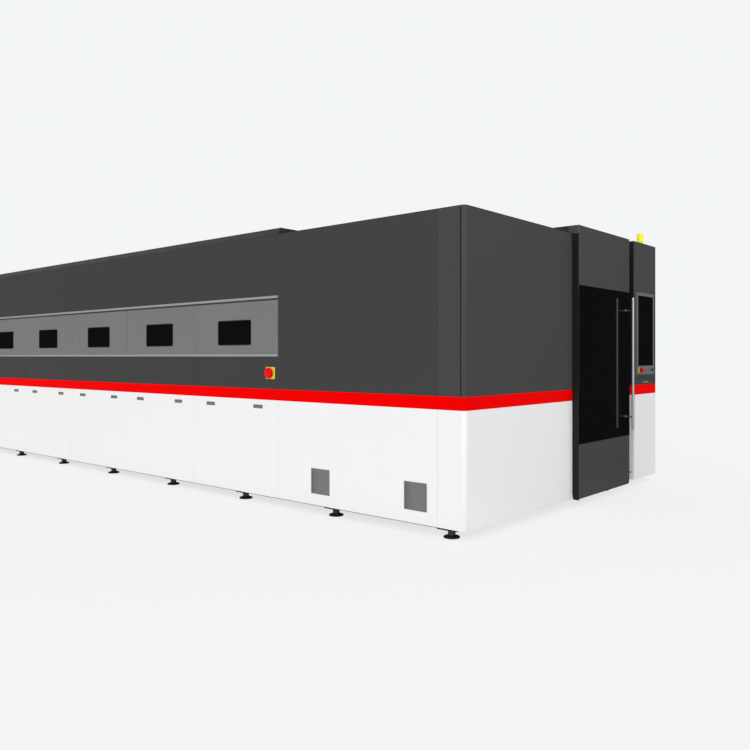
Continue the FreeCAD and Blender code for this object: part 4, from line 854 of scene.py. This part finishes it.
def frame_travel(joint):
    """How far a sliding joint goes, in millimetres."""
    found = next(entry for entry in frame["joints"] if entry["name"] == joint)
    return (found["range_m"][1] - found["range_m"][0]) / MM


def console_stop():
    """The console's stop button: its head, and the yellow ring round it on the bezel."""
    t, s, z = extent("console_stop_button")
    travel = frame_travel("console_stop_push")
    under = BEZEL_FACE + STOP_SHOULDER + travel
    lip = under - travel - LIP_GAP
    top = -t[0] + CONSOLE_HEAD_REACH
    head = stop_head((s[1] - s[0]) / 2 + STOP_HEAD_GAIN, STOP_NECK_R, -t[1], under, top)
    head = placed(head, "end", 0, middle(s), middle(z))
    nodes = ["console_stop_button"]
    # its red is a darker copy, as painted shade
    piece("console_stop_head", [head], "stop_red", "console_stop", nodes, finish=CONSOLE_STOP_SHADE_RED)
    steps = [(27.0, BEZEL_FACE), (27.0, 9.6), (26.0, 10.4), (20.5, 10.4)]
    steps += [(19.5, lip), (13.0, lip), (12.0, BEZEL_FACE)]
    shroud = placed(turned(steps, loop=True), "end", 0, middle(s), middle(z))
    piece("console_stop_ring", [shroud], "stop_yellow", "machine", edge=0.0)


def push_buttons():
    """The start and reset buttons' domed caps, each in its surround."""
    for name in ("start", "reset"):
        node = name + "_button"
        t, s, z = extent(node)
        radius = (s[1] - s[0]) / 2
        top = -t[0]
        profile = [(radius - 0.4, -t[1]), (radius - 0.4, top - 1.6), (radius - 1.0, top - 0.7)]
        profile += [(radius - 2.4, top - 0.4), (2.0, top)]
        cap = placed(turned(profile), "end", 0, middle(s), middle(z))
        piece(name + "_cap", [cap], "button_grey", name, [node], edge=0.0)
        steps = [(radius + 3.2, BEZEL_FACE), (radius + 3.2, 9.4), (radius + 2.0, 10.6), (radius + 0.5, 10.6)]
        steps += [(radius + 0.3, BEZEL_FACE)]
        surround = placed(turned(steps, loop=True), "end", 0, middle(s), middle(z))
        piece(name + "_surround", [surround], "button_grey", "machine", edge=0.0)


def key_switch():
    """The key in its barrel, and the surround that they turn in."""
    t, s, z = extent("key_switch")
    radius = (s[1] - s[0]) / 2
    top = -t[0]
    rows = [(8.0, -t[1]), (8.0, 8.3), (radius - 0.6, 8.3), (radius - 0.6, 12.5), (radius - 2.0, 14.0)]
    barrel = turned(rows)
    blade = slab(5.0, 9.0, 1.2, 13.5, 17.0)
    steps = [(5.0, 13.0, 2.4, 16.0), (5.6, 20.0, 2.7, 18.5)]
    steps += [(5.6, 20.0, 2.7, top - 2.0), (5.0, 15.0, 2.4, top)]
    bow = lofted([(round_box(width, height, corner), level) for width, height, corner, level in steps])
    forms = [placed(form, "end", 0, middle(s), middle(z)) for form in (barrel, blade, bow)]
    piece("switch_key", forms, "black_plastic", "key", ["key_switch"])
    steps = [(radius + 3.0, BEZEL_FACE), (radius + 3.0, 9.4), (radius + 1.8, 10.6), (radius + 0.4, 10.6)]
    steps += [(radius + 0.2, BEZEL_FACE)]
    surround = placed(turned(steps, loop=True), "end", 0, middle(s), middle(z))
    piece("key_surround", [surround], "black_plastic", "machine", edge=0.0)


def keyboard():
    """A slim base with six rows of separate caps, a wide bar in the front row."""
    t, s, z = extent("keyboard")
    deck = z[1] - KEY_RISE
    base = placed(slab(t[1] - t[0], s[1] - s[0], 5.0, 0, deck - z[0]), "up", middle(t), middle(s), z[0])
    piece("keyboard_base", [base], "black_plastic", "drawer", ["keyboard"], edge=1.0)
    rows = [[1.25] * 3 + [6.25] + [1.25] * 4 + [1.0] * 5] + [[1.0] * 20] * 5
    caps = []
    for index, widths in enumerate(rows):
        row_t = t[0] + KEYBOARD_MARGIN + KEY_PITCH * (index + 0.5)
        edge_s = middle(s) - KEY_PITCH * sum(widths) / 2
        for width in widths:
            size = KEY_PITCH * width
            steps = [(1.4, 1.0, 0.0), (1.4, 1.4, 4.5), (5.4, 2.2, 12.0), (7.0, 2.0, 12.6)]
            cap = lofted(stepped(KEY_PITCH, size, steps, corner_steps=2))
            caps.append(placed(cap, "up", row_t, edge_s + size / 2, deck))
            edge_s += size
    piece("keyboard_caps", caps, "black_plastic", "drawer", ["keyboard"], edge=0.0)


def drawer_pull():
    """A bright bar over the pull on the drawer's front."""
    s, z = extent("keyboard_drawer")[1:]
    width, height = DRAWER_PULL_SIZE
    steps = [(0.0, 4.0, 0.3), (0.0, 4.0, 8.0), (1.0, 3.6, 11.5), (4.0, 2.6, 13.5)]
    bar = lofted(stepped(width, height, steps))
    bar = placed(bar, "end", 0, middle(s), z[0] + DRAWER_PULL_RISE + height / 2)
    piece("drawer_pull", [bar], "pull_plastic", "drawer", edge=0.0)


def beacon():
    """A plain lens with a rounded crown, on a thin seal."""
    t, s, z = extent("beacon")
    radius, height = (t[1] - t[0]) / 2, z[1] - z[0]
    steps = [(0.6, 2.0), (0.0, 3.0), (0.0, 14.0), (0.5, 14.6), (0.5, 16.0), (0.0, 16.6)]
    steps += [(0.0, height - 4), (1.4, height - 1.2), (4.0, height)]
    lens = turned([(radius - inset, level) for inset, level in steps])
    seal = turned([(radius - 0.2, 0.0), (radius - 0.2, 2.2)])
    lens, seal = [placed(form, "up", middle(t), middle(s), z[0]) for form in (lens, seal)]
    piece("beacon_lens", [lens], "beacon_yellow", "machine", ["beacon"], edge=0.0)
    piece("beacon_seal", [seal], "black_plastic", "machine", ["beacon"])


# ---- door


def door_handle():
    """The long bar with a groove near each end, on shouldered standoffs with bevelled rosettes."""
    t, s, z = extent("door_handle")
    face = -t[1]
    length = z[1] - z[0]
    ends = [(10.6, 0.0), (12.0, 0.6), (12.5, 1.8), (12.5, 16.0), (11.9, 16.5), (11.9, 18.0), (12.5, 18.5)]
    profile = ends + [(radius, length - level) for radius, level in reversed(ends)]
    bar = placed(turned(profile), "up", -(face + HANDLE_AXIS), middle(s), z[0])
    stands = []
    for level in (z[0] + HANDLE_FIXING_INSET, z[1] - HANDLE_FIXING_INSET):
        steps = [(18.0, 0.0), (18.0, 2.6), (17.0, 4.0), (15.0, 4.6), (8.6, 4.6), (7.6, 6.0), (6.6, 9.0)]
        steps += [(6.6, HANDLE_AXIS - 16.0), (7.6, HANDLE_AXIS - 14.0), (7.6, HANDLE_AXIS - 2.0)]
        stands.append(placed(turned([(r, face + out) for r, out in steps]), "end", 0, middle(s), level))
    piece("handle_bar", [bar], "stainless", "door", ["door_handle"], edge=0.0)
    piece("handle_standoffs", stands, "stainless", "door", ["door_handle"], edge=0.0, finish=STANDOFF_STEEL)


def jamb_seal():
    """A rubber strip behind the closed leaf's leading edge, on the doorway's side."""
    cover_edge = extent("end_cover_upper")[1][1]
    low = extent("end_cover_lower")[2][0] + JAMB_SEAL_FOOT
    high = extent("end_cover_upper")[2][1] - JAMB_SEAL_HEAD
    strip = slab(JAMB_SEAL_REACH, JAMB_SEAL_WIDTH, 1.0, low, high)
    strip = placed(strip, "up", JAMB_SEAL_T, cover_edge + JAMB_SEAL_WIDTH / 2 - JAMB_SEAL_LAP, 0)
    piece("jamb_seal", [strip], "foot_rubber", "machine", edge=0.0)


def roof_joints():
    """Low caps over the joints between the main roof's sheets."""
    s, z = extent("roof_sheets")[1:]
    span = s[1] - s[0] - 2 * ROOF_EDGE
    caps = []
    for seam in MODULE_SEAMS[1:]:
        caps.append(placed(slab(ROOF_CAP_W, span, 2.0, -1.0, 3.0), "up", seam, middle(s), z[1]))
    # the caps take the roof's painted shade coat
    piece("roof_joint_caps", caps, "charcoal_panel", "machine", finish=ROOF_PAINTED_SHADE_COAT)


def door_edge_shade_strip():
    """A dark strip down the leaf's leading edge and round its bottom corner: painted shade on that edge, in the
    rubber's finish.
    """
    t, s, z = extent("door_leaf")
    top = extent("end_cover_upper")[2][1]
    outer, inner = [(s[0] - LEAF_SHADE_STRIP, top)], [(s[0] + 0.1, top)]
    for step in range(6):
        angle = math.radians(180 + 15 * step)
        for path, radius in ((outer, LEAF_CORNER_R + LEAF_SHADE_STRIP), (inner, LEAF_CORNER_R - 0.1)):
            corner = (s[0] + LEAF_CORNER_R, z[0] + LEAF_CORNER_R)
            path.append((corner[0] + radius * math.cos(angle), corner[1] + radius * math.sin(angle)))
    outline = outer + inner[::-1]
    # painted shade: a dark strip over the leaf's side face
    strip = lofted([(outline, SHADE_STRIP_CLEARANCE), (outline, -t[0] - 0.8)])
    piece("door_edge_shade_strip", [placed(strip, "end", 0, 0, 0)], "foot_rubber", "door", edge=0.0)


# ---- camera, stage and light


def make_camera():
    """The photograph's camera: level, with its horizon shifted in the picture."""
    data = bpy.data.cameras.new("photo_camera")
    camera = bpy.data.objects.new("photo_camera", data)
    bpy.context.scene.collection.objects.link(camera)
    data.sensor_fit = "HORIZONTAL"
    data.sensor_width = SENSOR
    data.lens = FOCAL_PIXELS * SENSOR / PHOTO_PIXELS
    data.shift_y = (HORIZON_PIXEL - PHOTO_PIXELS / 2) / PHOTO_PIXELS
    data.clip_start = 0.05
    data.clip_end = 500.0
    camera.location = at(*EYE)
    camera.rotation_euler = (math.radians(90), 0, VIEW_TURN)
    bpy.context.scene.camera = camera


def sees_backdrop(tree):
    """One for rays from the camera and through gloss or glass, and nought for the rest."""
    path = tree.nodes.new("ShaderNodeLightPath")
    seen = maths(tree, "MAXIMUM", path.outputs["Is Camera Ray"], path.outputs["Is Glossy Ray"])
    return maths(tree, "MAXIMUM", seen, path.outputs["Is Transmission Ray"])


def make_world():
    """An even white sky for light, and the backdrop's own colour where it is seen."""
    world = bpy.data.worlds.new("studio")
    world.use_nodes = True
    tree = world.node_tree
    tree.nodes.clear()
    light = tree.nodes.new("ShaderNodeBackground")
    light.inputs["Color"].default_value = (1, 1, 1, 1)
    light.inputs["Strength"].default_value = SKY_STRENGTH
    backdrop = tree.nodes.new("ShaderNodeBackground")
    backdrop.inputs["Color"].default_value = linear(BACKDROP)
    mix = tree.nodes.new("ShaderNodeMixShader")
    output = tree.nodes.new("ShaderNodeOutputWorld")
    tree.links.new(sees_backdrop(tree), mix.inputs[0])
    tree.links.new(light.outputs[0], mix.inputs[1])
    tree.links.new(backdrop.outputs[0], mix.inputs[2])
    tree.links.new(mix.outputs[0], output.inputs[0])
    bpy.context.scene.world = world


def flat_sheet(name, corners):
    """A single face of the stage."""
    mesh = bpy.data.meshes.new(name)
    mesh.from_pydata(corners, [], [(0, 1, 2, 3)])
    sheet = bpy.data.objects.new(name, mesh)
    bpy.context.scene.collection.objects.link(sheet)
    return sheet


def make_floor():
    """A pale floor that turns into the backdrop further out, under a faint shadow."""
    half = FLOOR_SIZE / 2
    floor = flat_sheet("floor", [(-half, -half, 0), (half, -half, 0), (half, half, 0), (-half, half, 0)])
    material, tree, shader = new_material("floor")
    shader.inputs["Base Color"].default_value = linear(FLOOR_COLOUR)
    shader.inputs["Roughness"].default_value = 0.9
    shader.inputs["Specular IOR Level"].default_value = 0.0
    far = tree.nodes.new("ShaderNodeEmission")
    far.inputs["Color"].default_value = linear(BACKDROP)
    place = tree.nodes.new("ShaderNodeTexCoord").outputs["Object"]
    reach = tree.nodes.new("ShaderNodeVectorMath")
    reach.operation = "LENGTH"
    tree.links.new(place, reach.inputs[0])
    fade = spread(tree, reach.outputs["Value"], FLOOR_LIFT, 1.0, FLOOR_FADE * 0.45, FLOOR_FADE)
    mix = tree.nodes.new("ShaderNodeMixShader")
    tree.links.new(maths(tree, "MULTIPLY", fade, sees_backdrop(tree)), mix.inputs[0])
    tree.links.new(shader.outputs[0], mix.inputs[1])
    tree.links.new(far.outputs[0], mix.inputs[2])
    tree.links.new(mix.outputs[0], tree.nodes["Material Output"].inputs[0])
    floor.data.materials.append(material)


def upright_card(t, s, top):
    """Corners of an upright card over a range of t."""
    return [at(t[0], s, 0), at(t[1], s, 0), at(t[1], s, top), at(t[0], s, top)]


def level_card(t, s, z):
    """Corners of a level card over ranges of t and s."""
    return [at(t[0], s[0], z), at(t[1], s[0], z), at(t[1], s[1], z), at(t[0], s[1], z)]


def make_flag(name, corners):
    """A dark card that only gloss and glass mirror, as black cards do beside a product in a studio."""
    card = flat_sheet(name, corners)
    material, tree, _ = new_material(name)
    dark = tree.nodes.new("ShaderNodeEmission")
    dark.inputs["Color"].default_value = linear(FLAG_COLOUR)
    tree.links.new(dark.outputs[0], tree.nodes["Material Output"].inputs[0])
    card.data.materials.append(material)
    card.visible_camera = False
    card.visible_diffuse = False
    card.visible_transmission = False
    card.visible_shadow = False


def make_sun():
    """One wide soft light on the windowed side, to the left of the camera and low in the sky."""
    data = bpy.data.lights.new("soft_sun", "SUN")
    data.energy = SUN_STRENGTH
    data.angle = SUN_SPREAD
    sun = bpy.data.objects.new("soft_sun", data)
    bpy.context.scene.collection.objects.link(sun)
    sun.rotation_euler = Vector(SUN_FROM).to_track_quat("Z", "Y").to_euler()


make_camera()
make_world()
make_floor()
make_flag("end_flag", upright_card(END_FLAG_T, FAR_FLAG_S, END_FLAG_TOP))
make_flag("corner_flag", upright_card(CORNER_FLAG_T, FAR_FLAG_S, CORNER_FLAG_TOP))
make_flag("end_floor_flag", level_card(FLOOR_FLAG_T, FLOOR_FLAG_S, FLOOR_FLAG_LIFT))
make_flag("side_flag", upright_card(SIDE_FLAG_T, SIDE_FLAG_S, SIDE_FLAG_TOP))
make_sun()
dress_nodes()
levelling_feet()
vent_grilles()
cover_pulls()
window_gaskets()
seam_strips()
trim_strips()
cover_seals()
corner_shade_strip()
console_side_shade_strip()
side_stop()
console_stop()
push_buttons()
key_switch()
keyboard()
drawer_pull()
beacon()
door_handle()
door_edge_shade_strip()
jamb_seal()
roof_joints()

scene = bpy.context.scene
scene.view_settings.view_transform = "Standard"
